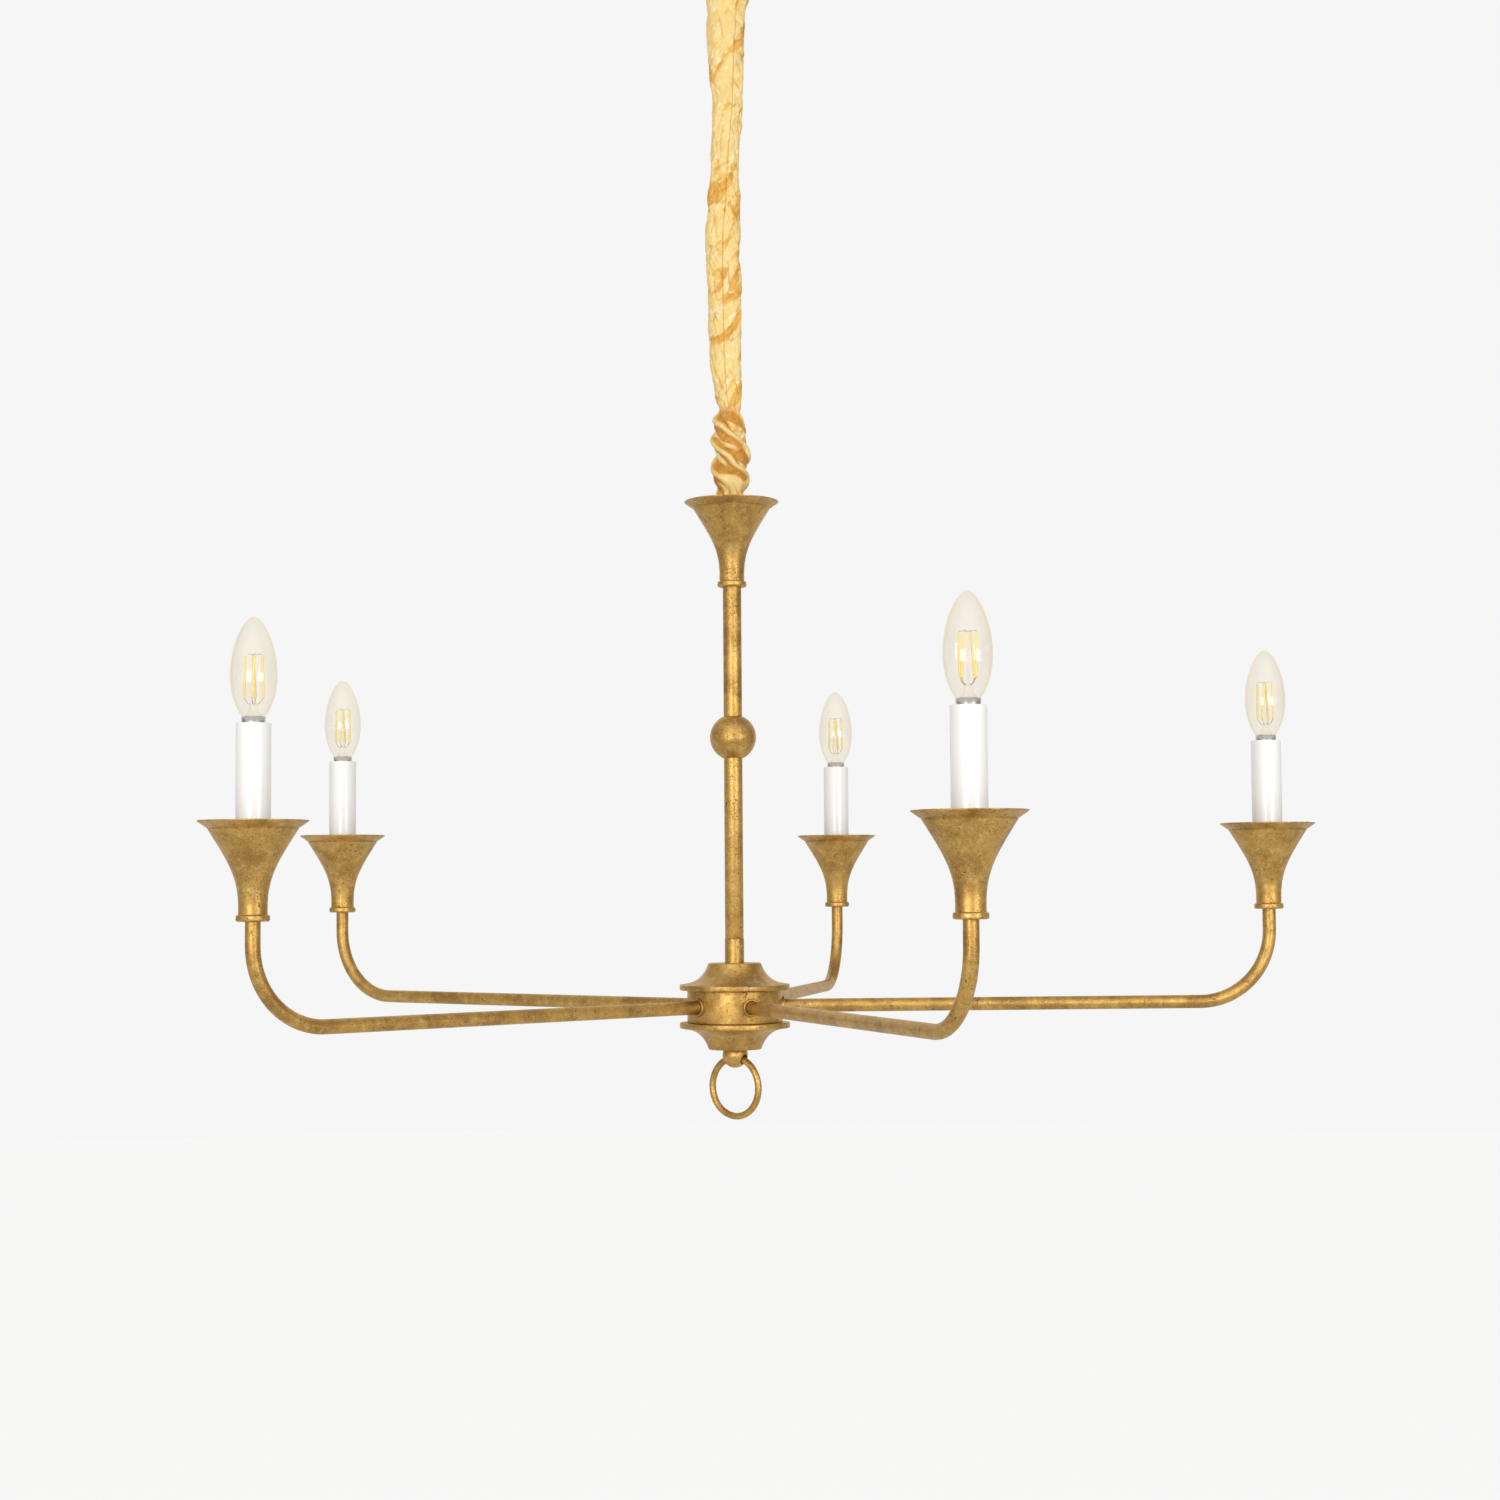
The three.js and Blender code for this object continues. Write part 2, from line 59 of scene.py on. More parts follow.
MM = 0.001
ARMS = range(1, 6)
FLOOR_DROP = 2.45  # ceiling to floor, in metres
VELVET_SLANT = math.radians(38.0)  # lean of the crush marks, from upright
FINISH = "_finish"  # ends the name of each finish, after its slot
GOLD = "antique_gold"  # slot of the metal that shows
BODY = "chandelier"  # body of all that hangs below the top link
TINY = 1e-6  # mm: shorter than any edge
CORNER = math.radians(24.0)  # a sharper turn of an outline is a corner
CREASE = 32.0  # degrees between faces that are shaded apart
LAID_OVER = Matrix.Rotation(math.pi / 2, 4, "Y")  # turns Z into X


# ---- sizes and colours ----
def length(name, text, default):
    """A length in metres that the sidebar shows in the scene's unit."""
    return FloatProperty(name=name, description=text, default=default, min=0.0, unit="LENGTH")


def colour(name, text, default):
    """A linear colour."""
    return FloatVectorProperty(
        name=name, description=text, default=default, subtype="COLOR", size=3, min=0.0, max=1.0
    )


class ChandelierSizes(bpy.types.PropertyGroup):
    """Sizes of the parts that the frame's boxes don't give directly."""

    arm_radius: length("Arm tube radius", "Outer radius of the bent arm tubes", 0.00575)
    arm_bend: length("Arm bend", "Centre-line radius of each arm's quarter bend", 0.062)
    cup_wall: length("Cup wall", "Thickness of the spun trumpet cups", 0.0009)
    stem_radius: length("Stem radius", "Outer radius of the stem tubes", 0.008)
    ring_wire: length("Ring wire", "Radius of the loose ring's wire", 0.0029)
    link_wire: length("Link wire", "Radius of the chain's wire", 0.0015)
    glass_wall: length("Glass wall", "Thickness of the bulbs' glass", 0.0007)
    velvet_wall: length("Velvet", "Thickness of the velvet over the chain", 0.0007)
    around: IntProperty(
        name="Steps around", description="Faces around each turned part", default=96, min=24
    )


class ChandelierColours(bpy.types.PropertyGroup):
    """Colours of the finishes."""

    # Partly painted highlight: this creamy rubbed gold also stands in for the creamy tint of
    # highlights on the gold.
    gold_rubbed_and_highlight: colour("Gold, rubbed", "Raised, rubbed gold", (0.93, 0.74, 0.42))
    gold: colour("Gold", "Main antique gold", (0.6, 0.36, 0.086))
    gold_deep: colour("Gold, deep", "Browner gold of the mottling", (0.38, 0.2, 0.042))
    patina: colour("Patina", "Dark specks in the gold", (0.055, 0.032, 0.012))
    # Painted sheen: creamy flecks where the pile stands up stand in for light off the pile.
    velvet_sheen: colour("Velvet, light", "Velvet where the pile stands up", (0.94, 0.87, 0.66))
    velvet_pale: colour("Velvet, pale", "Velvet where the pile lies smooth", (0.85, 0.64, 0.26))
    velvet_soft: colour("Velvet, soft", "Velvet where the pile is brushed", (0.76, 0.44, 0.1))
    velvet_amber: colour("Velvet, amber", "Velvet where the pile is crushed", (0.56, 0.22, 0.014))
    # Painted shade, for the folds, the twist and the seam.
    velvet_shade: colour("Velvet, deep", "Velvet in the folds", (0.36, 0.1, 0.003))
    white: colour("Candle white", "Glossy candle sleeves", (0.86, 0.855, 0.835))
    moulding: colour("Moulding", "Lampholders and terminal blocks", (0.8, 0.79, 0.75))
    glass: colour("Glass", "Tint of one wall of the bulbs", (0.994, 0.98, 0.95))
    phosphor: colour("Phosphor", "Light-emitting rods", (1.0, 0.82, 0.3))
    nickel: colour("Nickel", "Bulb caps", (0.66, 0.64, 0.6))
    zinc: colour("Zinc", "Plated steel inside", (0.55, 0.55, 0.53))
    backdrop: colour("Backdrop", "Studio walls and floor", (0.92, 0.92, 0.92))


# ---- shader maths ----
class Value:
    """One shader output that takes Python's arithmetic and adds the Math nodes for it."""

    def __init__(self, shader, socket):
        self.shader = shader
        self.socket = socket

    def maths(self, operation, *values):
        return self.shader.add("Math", {"operation": operation}, dict(enumerate(values)))

    def __add__(self, other):
        return self.maths("ADD", self, other)

    def __sub__(self, other):
        return self.maths("SUBTRACT", self, other)

    def __rsub__(self, other):
        return self.maths("SUBTRACT", other, self)

    def __mul__(self, other):
        return self.maths("MULTIPLY", self, other)

    def __pow__(self, other):
        return self.maths("POWER", self, other)

    def between(self, low, high):
        """0 below low, 1 above high, and smooth between them."""
        return self.shader.add(
            "MapRange",
            {"interpolation_type": "SMOOTHSTEP"},
            {"Value": self, "From Min": low, "From Max": high, "To Min": 0.0, "To Max": 1.0},
        )

    __radd__ = __add__


class Shader:
    """The nodes of a material or of the world."""

    def __init__(self, owner):
        self.owner = owner
        owner.use_nodes = True
        self.tree = owner.node_tree
        self.tree.nodes.clear()

    @classmethod
    def of(cls, name):
        """A new finish."""
        return cls(bpy.data.materials.new(name + FINISH))

    def add(self, kind, settings=(), sockets=(), out=0):
        """Adds a node: its settings first, then the values or links of its sockets."""
        node = self.tree.nodes.new("ShaderNode" + kind)
        for key, value in dict(settings).items():
            setattr(node, key, value)
        for key, value in dict(sockets).items():
            if isinstance(value, Value):
                self.tree.links.new(value.socket, node.inputs[key])
            elif node.inputs[key].type == "RGBA" and len(value) == 3:
                node.inputs[key].default_value = (*value, 1.0)
            else:
                node.inputs[key].default_value = value
        return Value(self, node.outputs[out]) if len(node.outputs) else None

    def place(self, stretch, slant):
        """The point on the piece in metres, stretched along axes that lean by slant."""
        point = self.add("TexCoord", out="Object")
        scale = tuple(1.0 / part for part in stretch)
        sockets = {"Vector": point, "Rotation": (0.0, slant, 0.0), "Scale": scale}
        return self.add("Mapping", {"vector_type": "TEXTURE"}, sockets)

    def noise(self, scale, detail, rough, stretch=(1.0, 1.0, 1.0), twist=0.0, slant=0.0):
        sockets = {
            "Vector": self.place(stretch, slant), "Scale": scale, "Detail": detail,
            "Roughness": rough, "Distortion": twist,
        }
        return self.add("TexNoise", (), sockets)

    def blend(self, factor, first, second):
        """Two colours mixed by a factor."""
        return self.add("Mix", {"data_type": "RGBA"}, {0: factor, 6: first, 7: second}, out=2)

    def bump(self, height, strength, distance):
        return self.add("Bump", (), {"Height": height, "Strength": strength, "Distance": distance})

    def surface(self, sockets):
        """Ends the material in a Principled shader."""
        self.add("OutputMaterial", (), {"Surface": self.add("BsdfPrincipled", (), sockets)})
        return self.owner


def antique_gold(colours):
    """Gold leaf over brown: broad mottling, bright grain and clusters of dark specks. The bright
    leaf and grain are partly rubbed gold and partly painted highlight, in a creamy tint.
    """
    s = Shader.of(GOLD)
    broad = s.noise(42.0, 3.0, 0.6, twist=0.6)
    leaf = s.noise(190.0, 4.0, 0.65, twist=0.4)
    grain = s.noise(1050.0, 3.0, 0.75)
    cluster = s.noise(70.0, 4.0, 0.65, twist=1.0).between(0.45, 0.62)
    pits = s.noise(560.0, 4.0, 0.8, twist=0.5).between(0.54, 0.62)
    specks = pits * (cluster * 0.8 + 0.2)
    body = s.blend(broad.between(0.3, 0.62), colours.gold_deep, colours.gold)
    # Bright leaf and grain: rubbed gold, partly painted highlight in its creamy tint.
    body = s.blend(leaf.between(0.52, 0.74) * 0.35, body, colours.gold_rubbed_and_highlight)
    body = s.blend(leaf.between(0.48, 0.3) * 0.45, body, colours.gold_deep)
    body = s.blend(grain.between(0.52, 0.7) * 0.5, body, colours.gold_rubbed_and_highlight)
    body = s.blend(grain.between(0.48, 0.32) * 0.35, body, colours.gold_deep)
    body = s.blend(specks, body, colours.patina)
    height = grain * 0.5 + leaf * 0.8 - specks * 0.7
    return s.surface({
        "Base Color": body,
        "Metallic": 0.86 - specks * 0.45,
        "Roughness": leaf * 0.2 + grain * 0.22 + specks * 0.2 + 0.15,
        "Normal": s.bump(height, 0.35, 0.0006),
    })


def crushed_velvet(colours):
    """Panne velvet: its pile is crushed in patches, which turn amber against the pale gold.
    Painted sheen shows as creamy flecks, and painted shade darkens the folds, the twist and the
    seam.
    """
    s = Shader.of("gold_velvet")
    # Painted shade in the creases, the gather and the twist, set per vertex.
    fold_shade = s.add("Attribute", {"attribute_name": "fold_shade"}, out="Fac")
    seam = s.add("Attribute", {"attribute_name": "seam"}, out="Fac")
    patch = s.noise(54.0, 4.0, 0.55, (1.0, 1.0, 0.42), 0.7, VELVET_SLANT)
    flecks = s.noise(210.0, 5.0, 0.7, (1.0, 1.0, 0.4), 0.9, VELVET_SLANT)
    pile = s.noise(1500.0, 3.0, 0.7, (1.0, 1.0, 0.5))
    crushed = (patch + (flecks - 0.5) * 0.22).between(0.53, 0.6)
    amber = s.blend(flecks.between(0.3, 0.62), colours.velvet_amber, colours.velvet_soft)
    body = s.blend(flecks.between(0.5, 0.68) * 0.5, colours.velvet_pale, colours.velvet_soft)
    # Painted sheen: creamy flecks of light off the pile.
    body = s.blend(flecks.between(0.47, 0.34) * 0.75, body, colours.velvet_sheen)
    body = s.blend(crushed, body, amber)
    # Painted shade: creases, the gather at the cup and the twist's hollows turn deep amber.
    body = s.blend(fold_shade.between(0.1, 0.75), body, s.blend(flecks, colours.velvet_shade, amber))
    body = s.blend(pile.between(0.4, 0.7) * 0.25, body, colours.velvet_soft)
    # Painted shade along the seam's groove.
    body = s.blend(seam * 0.6, body, colours.velvet_shade)
    return s.surface({
        "Base Color": body,
        "Roughness": 0.4 + patch * 0.3,
        "Sheen Weight": 0.06,
        "Sheen Roughness": 0.4,
        "Specular IOR Level": 0.2,
        "Normal": s.bump(flecks * 0.8 + pile * 0.3, 0.5, 0.0009),
    })


def candle_white(colours):
    """Glossy white sleeve, very slightly uneven."""
    s = Shader.of("white_sleeve")
    waves = s.noise(45.0, 2.0, 0.5, (1.0, 1.0, 0.3))
    dust = s.noise(900.0, 3.0, 0.7).between(0.6, 0.8)
    return s.surface({
        "Base Color": s.blend(dust * 0.08 + waves * 0.04, colours.white, colours.moulding),
        "Roughness": 0.2 + dust * 0.15 + waves * 0.06,
        "Coat Weight": 0.3,
        "Coat Roughness": 0.06,
        "Normal": s.bump(waves, 0.15, 0.0004),
    })


def moulded_plastic(colours):
    """Matte moulded plastic with a fine texture."""
    s = Shader.of("moulded_plastic")
    grain = s.noise(1800.0, 2.0, 0.6)
    return s.surface({
        "Base Color": s.blend(grain * 0.15, colours.moulding, colours.gold_deep),
        "Roughness": 0.45 + grain * 0.2,
        "Normal": s.bump(grain, 0.2, 0.0002),
    })


def clear_glass(colours):
    """Thin blown glass: it lets light straight through and mirrors more towards its edges."""
    s = Shader.of("clear_glass")
    tint = colours.glass
    facing = s.add("LayerWeight", {}, {"Blend": 0.5}, out="Facing")
    ripple = s.noise(60.0, 2.0, 0.5)
    middle = s.add("BsdfTransparent", {}, {"Color": tint})
    rim = s.add("BsdfTransparent", {}, {"Color": tuple(part ** 6 for part in tint)})
    clear = s.add("MixShader", {}, {0: facing ** 4, 1: middle, 2: rim})
    gloss = s.add("BsdfPrincipled", {}, {
        "Base Color": s.blend(ripple * 0.1, (1.0, 1.0, 1.0), tint),
        "Metallic": 1.0,
        "Roughness": 0.03,
    })
    mirror = facing ** 5 * 0.5 + 0.035
    walls = s.add("MixShader", {}, {0: mirror, 1: clear, 2: gloss})
    s.add("OutputMaterial", {}, {"Surface": walls})
    return s.owner


def phosphor(colours):
    """Yellow phosphor with its faint banding."""
    s = Shader.of("filament_yellow")
    bands = s.noise(900.0, 1.0, 0.5, (0.3, 0.3, 1.0))
    return s.surface({
        "Base Color": s.blend(bands * 0.5, colours.phosphor, colours.velvet_pale),
        "Roughness": 0.4 + bands * 0.2,
        "Normal": s.bump(bands, 0.3, 0.0001),
    })


def plated(colours, name, tone, shine):
    """Plated metal with fine scratches and a little tarnish."""
    s = Shader.of(name)
    scratches = s.noise(700.0, 3.0, 0.7, (1.0, 1.0, 0.06))
    tarnish = s.noise(90.0, 3.0, 0.6).between(0.5, 0.72)
    return s.surface({
        "Base Color": s.blend(tarnish * 0.3, tone, colours.gold_deep),
        "Metallic": 1.0,
        "Roughness": scratches * 0.15 + tarnish * 0.12 + shine,
        "Normal": s.bump(scratches, 0.12, 0.0002),
    })


def finishes():
    """Every finish by its slot name, made once."""
    colours = bpy.context.scene.chandelier_colours
    makers = {
        GOLD: lambda: antique_gold(colours),
        "gold_velvet": lambda: crushed_velvet(colours),
        "white_sleeve": lambda: candle_white(colours),
        "moulded_plastic": lambda: moulded_plastic(colours),
        "clear_glass": lambda: clear_glass(colours),
        "filament_yellow": lambda: phosphor(colours),
        "nickel": lambda: plated(colours, "nickel", colours.nickel, 0.06),
        "zinc_steel": lambda: plated(colours, "zinc_steel", colours.zinc, 0.3),
        "chain_brass": lambda: plated(colours, "chain_brass", colours.gold_rubbed_and_highlight, 0.24),
    }
    known = bpy.data.materials
    return {slot: known.get(slot + FINISH) or make() for slot, make in makers.items()}


# ---- shapes ----
def clamp(value):
    """A value kept between 0 and 1."""
    return min(max(value, 0.0), 1.0)


def pairs(rings, looped):
    """Each ring with the next one, and the last with the first if the run is looped."""
    return zip(rings, rings[1:] + rings[:1] if looped else rings[1:])


def aimed(thing, target):
    """Turns a camera or lamp to face a point."""
    thing.rotation_euler = (target - thing.location).to_track_quat("-Z", "Y").to_euler()


def piece(name, build, slot, body, nodes=(), cusp=CREASE):
    """Makes an object from a filled bmesh, ties it to its body and slot, and hides the CAD nodes
    that it stands for.
    """
    bmesh.ops.remove_doubles(build, verts=build.verts, dist=1e-7)
    bmesh.ops.recalc_face_normals(build, faces=build.faces)
    mesh = bpy.data.meshes.new(name)
    build.to_mesh(mesh)
    build.free()
    mesh.shade_smooth()
    mesh.set_sharp_from_angle(angle=math.radians(cusp))
    mesh.materials.append(finishes()[slot])
    made = bpy.data.objects.new(name, mesh)
    bpy.context.scene.collection.objects.link(made)
    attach(made, body)
    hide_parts(*nodes)
    return made


def arc(centre, radius, start, end, steps):
    """Points of an arc in the outline's plane, angles in degrees from the radial axis."""
    turns = [math.radians(start + (end - start) * i / steps) for i in range(steps + 1)]
    return [(centre[0] + radius * math.cos(a), centre[1] + radius * math.sin(a)) for a in turns]


def bezier(a, b, c, d, steps):
    """Points of a cubic curve through a and d."""
    line = []
    for i in range(steps + 1):
        t = i / steps
        u = 1 - t
        weights = (u * u * u, 3 * u * u * t, 3 * u * t * t, t * t * t)
        line.append(tuple(sum(w * p[k] for w, p in zip(weights, (a, b, c, d))) for k in (0, 1)))
    return line


def softened(outline, radius=0.35):
    """A closed outline with each clear corner rounded, as a turned or spun edge is."""
    soft = []
    for i, (r, z) in enumerate(outline):
        before, after = Vector(outline[i - 1]), Vector(outline[(i + 1) % len(outline)])
        here = Vector((r, z))
        shortest = min((here - before).length, (after - here).length)
        if shortest < TINY or r < TINY or (here - before).angle(after - here) < CORNER:
            soft.append((r, z))
            continue
        reach = min(radius, shortest * 0.45)
        start = here + (before - here).normalized() * reach
        end = here + (after - here).normalized() * reach
        for k in range(4):
            t = k / 3
            point = start * (1 - t) ** 2 + here * 2 * t * (1 - t) + end * t * t
            soft.append((point.x, point.y))
    return soft


def turned(outline, at=Vector(), matrix=None, around=None, build=None):
    """A body of revolution about Z from (radius, height) points in mm, set at a point.

    The outline closes on itself, unless both its ends are on the axis.
    """
    around = around or bpy.context.scene.chandelier_sizes.around
    build = build or bmesh.new()
    move = Matrix.Translation(at) @ (matrix or Matrix.Identity(4))
    rings = []
    for radius, height in outline:
        if radius < TINY:
            rings.append([build.verts.new(move @ Vector((0, 0, height * MM)))])
            continue
        ring = []
        for i in range(around):
            a = 2 * math.pi * i / around
            point = Vector((radius * math.cos(a), radius * math.sin(a), height)) * MM
            ring.append(build.verts.new(move @ point))
        rings.append(ring)
    for lower, upper in pairs(rings, True):
        for i in range(around):
            j = (i + 1) % around
            foot = [lower[i % len(lower)], lower[j % len(lower)]]
            head = [upper[j % len(upper)], upper[i % len(upper)]]
            corners = list(dict.fromkeys(foot + head))
            if len(corners) > 2:
                build.faces.new(corners)
    return build


def swept(line, radius, sides, bore=0.0, looped=False, build=None):
    """A tube along points in metres: solid, bored or closed on itself, with radii in metres."""
    build = build or bmesh.new()
    count = len(line)
    tangents = []
    for i in range(count):
        ahead = line[(i + 1) % count] if looped or i < count - 1 else line[i]
        behind = line[i - 1] if looped or i > 0 else line[i]
        tangents.append((ahead - behind).normalized())
    side = tangents[0].orthogonal().normalized()
    rings = []
    for i in range(count):
        side = (side - tangents[i] * side.dot(tangents[i])).normalized()
        across = tangents[i].cross(side)
        spokes = []
        for k in range(sides):
            a = 2 * math.pi * k / sides
            spokes.append(side * math.cos(a) + across * math.sin(a))
        rings.append((line[i], spokes))

    def skin(reach):
        return [[build.verts.new(at + spoke * reach) for spoke in spokes] for at, spokes in rings]

    def bridge(first, second):
        for k in range(sides):
            m = (k + 1) % sides
            build.faces.new((first[k], first[m], second[m], second[k]))

    outer = skin(radius)
    for first, second in pairs(outer, looped):
        bridge(first, second)
    if looped:
        return build
    if bore:
        inner = skin(bore)
        for first, second in pairs(inner, False):
            bridge(second, first)
        bridge(inner[0], outer[0])
        bridge(outer[-1], inner[-1])
    else:
        build.faces.new(outer[0][::-1])
        build.faces.new(outer[-1])
    return build


def bevelled_box(low, high, edge):
    """A box between two corners in metres with rounded edges."""
    build = bmesh.new()
    block = bmesh.ops.create_cube(build, size=1.0)["verts"]
    size = high - low
    bmesh.ops.scale(build, vec=size, verts=block)
    bmesh.ops.translate(build, vec=(low + high) / 2, verts=block)
    edges = list({e for v in block for e in v.link_edges})
    bmesh.ops.bevel(build, geom=edges, offset=edge, segments=3, affect="EDGES", profile=0.6)
    return build


def drill(target, radius, low, high, at, matrix=None, around=48):
    """Cuts a round hole for good: its radius and the ends of its axis in mm, about a point."""
    outline = [(0, low), (radius, low), (radius, high), (0, high)]
    tool = turned(outline, at, matrix, around=around)
    bmesh.ops.recalc_face_normals(tool, faces=tool.faces)
    mesh = bpy.data.meshes.new("drill")
    tool.to_mesh(mesh)
    tool.free()
    cutter = bpy.data.objects.new("drill", mesh)
    bpy.context.scene.collection.objects.link(cutter)
    cut = target.modifiers.new("drill", "BOOLEAN")
    cut.operation = "DIFFERENCE"
    cut.solver = "EXACT"
    cut.object = cutter
    bpy.context.view_layer.update()
    evaluated = target.evaluated_get(bpy.context.evaluated_depsgraph_get())
    result = bpy.data.meshes.new_from_object(evaluated)
    target.modifiers.remove(cut)
    target.data = result
    result.set_sharp_from_angle(angle=math.radians(CREASE))
    bpy.data.objects.remove(cutter)


# ---- where things are ----
def centre(node):
    low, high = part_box(node)
    return (low + high) / 2


def arm_plane():
    """Height of the arms' centre lines."""
    return centre("hub_drum").z


def candle_axis(arm):
    """The candle's axis at the height of the arms."""
    middle = centre(f"candle_sleeve_{arm}")
    return Vector((middle.x, middle.y, arm_plane()))


def out_along(arm):
    """Turns +X into the arm's direction."""
    axis = candle_axis(arm)
    return Matrix.Rotation(math.atan2(axis.y, axis.x), 4, "Z")


def spoke(arm):
    """Turns Z into the arm's direction."""
    return out_along(arm) @ LAID_OVER


def standing(node, axis=Vector()):
    """A node's foot, on its axis, and its height in mm."""
    low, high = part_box(node)
    return Vector((axis.x, axis.y, low.z)), (high.z - low.z) / MM


# ---- trumpet cups ----
def cup_outline():
    """From the rim down the outside, round the beaded collar, and back up the inside."""
    wall = bpy.context.scene.chandelier_sizes.cup_wall / MM
    lip = [
        (41.0, -0.25), (40.95, -0.75), (33.75, -5.75),
        (33.3, -5.85), (33.05, -6.25), (33.3, -6.6),
    ]
    bell = bezier((33.0, -6.9), (18.4, -30.2), (10.8, -42.0), (10.8, -64.0), 22)
    collar = [(10.8, -69.7), (11.3, -70.1), *arc((11.25, -71.4), 1.3, 80, -10, 5),
              *arc((11.25, -73.5), 1.35, 10, -80, 5), (11.2, -75.0)]
    inside = [(r - wall, z + wall) for r, z in reversed(bell)]
    return lip + bell + collar, inside + [(32.4, -5.3), (39.6, -0.15), (40.4, 0.0)]


def cup(name, node, at, bore):
    """A trumpet cup with its rim's middle at a point, bored in mm through its floor."""
    outside, inside = cup_outline()
    floor = [(bore, -75.0), (bore, -70.4), (9.9, -69.4)]
    piece(name, turned(outside + floor + inside, at), GOLD, BODY, [node])


# ---- operators ----
class Build(bpy.types.Operator):
    """Base of the operators: each makes one group of pieces."""

    bl_idname = "chandelier.base"
    bl_label = "Base"
    bl_options = {"REGISTER", "UNDO"}

    def execute(self, context):
        """Makes the pieces from the scene's sizes."""
        self.make(context.scene.chandelier_sizes)
        return {"FINISHED"}


class SetStage(Build):
    """Camera, soft lamps, pale floor and plain surroundings"""

    bl_idname = "chandelier.set_stage"
    bl_label = "Camera and studio"

    # The camera: metres back from the axis and above the arms, mm of lens, and degrees.
    camera_back = 2.1
    camera_rise = 0.1065
    lens = 58.18
    pitch = 3.12
    turn = 0.4
    roll = -0.42
    # Each lamp: name, degrees round from straight in front, metres wide, and watts.
    lamps = (("left_softbox", -20.0, 0.85, 10.0), ("right_softbox", 38.0, 0.75, 8.0))
    lamp_back = 2.4
    lamp_rise = 0.3
    lamp_height = 0.6  # over its width
    floor_radius = 14.0
    floor_shade = 0.7  # of the backdrop's tone, for all but the camera

    def make(self, sizes):
        scene = bpy.context.scene
        data = bpy.data.cameras.new("studio_camera")
        data.sensor_width = 36.0
        data.lens = self.lens
        camera = bpy.data.objects.new("studio_camera", data)
        camera.location = (0.0, -self.camera_back, arm_plane() + self.camera_rise)
        aim = Euler((math.radians(90.0 + self.pitch), 0.0, math.radians(-self.turn))).to_matrix()
        camera.rotation_euler = (aim @ Matrix.Rotation(math.radians(self.roll), 3, "Z")).to_euler()
        scene.collection.objects.link(camera)
        scene.camera = camera
        scene.view_settings.view_transform = "Standard"
        self.surroundings(scene)
        for lamp in self.lamps:
            self.softbox(*lamp)

    def softbox(self, name, azimuth, width, power):
        """An area lamp level with the bulbs, at an angle from straight in front."""
        data = bpy.data.lights.new(name, "AREA")
        data.shape = "RECTANGLE"
        data.size = width
        data.size_y = self.lamp_height * width
        data.energy = power
        lamp = bpy.data.objects.new(name, data)
        turn = math.radians(azimuth)
        level = arm_plane() + self.lamp_rise
        away = self.lamp_back
        lamp.location = (away * math.sin(turn), -away * math.cos(turn), level)
        aimed(lamp, Vector((0.0, 0.0, level)))
        bpy.context.scene.collection.objects.link(lamp)

    def surroundings(self, scene):
        """A plain pale backdrop and floor. The studio's dark sides show only in the gloss."""
        tone = scene.chandelier_colours.backdrop
        world = bpy.data.worlds.new("studio")
        s = Shader(world)
        towards = s.add("TexCoord", out="Generated")
        y, z = (s.add("SeparateXYZ", (), {"Vector": towards}, out=axis) for axis in (1, 2))
        front = (0.0 - y).between(0.15, 0.9)
        back = y.between(0.35, 0.95)
        level = front * 1.05 + back * 0.5 + z.between(0.1, 0.9) * 0.25 + 0.32
        level = level * (1.0 - (0.0 - z).between(0.05, 0.75) * 0.5)
        studio = s.add("Background", (), {"Color": (1.0, 0.985, 0.955), "Strength": level})
        plain = s.add("Background", (), {"Color": tone, "Strength": 1.0})
        seen = s.add("LightPath", out="Is Camera Ray")
        mixed = s.add("MixShader", (), {0: seen, 1: studio, 2: plain})
        s.add("OutputWorld", (), {"Surface": mixed})
        scene.world = world
        mesh = bpy.data.meshes.new("studio_floor")
        build = bmesh.new()
        bmesh.ops.create_circle(build, cap_ends=True, segments=64, radius=self.floor_radius)
        bmesh.ops.translate(build, verts=build.verts, vec=(0.0, 0.0, -FLOOR_DROP))
        build.to_mesh(mesh)
        build.free()
        mesh.materials.append(self.pale_floor(tone))
        floor = bpy.data.objects.new("studio_floor", mesh)
        scene.collection.objects.link(floor)

    def pale_floor(self, tone):
        """Matte paper as pale as the backdrop, which shows greyer in the gloss."""
        s = Shader.of("studio_floor")
        cloud = s.noise(3.0, 2.0, 0.5)
        seen = s.add("LightPath", out="Is Camera Ray")
        shade = tuple(self.floor_shade * part for part in tone)
        return s.surface({
            "Base Color": s.blend(cloud * 0.1, (0.2, 0.2, 0.2), (0.21, 0.21, 0.205)),
            "Roughness": 0.9,
            "Specular IOR Level": 0.0,
            "Emission Color": s.blend(seen, shade, tone),
            "Emission Strength": 0.85,
        })


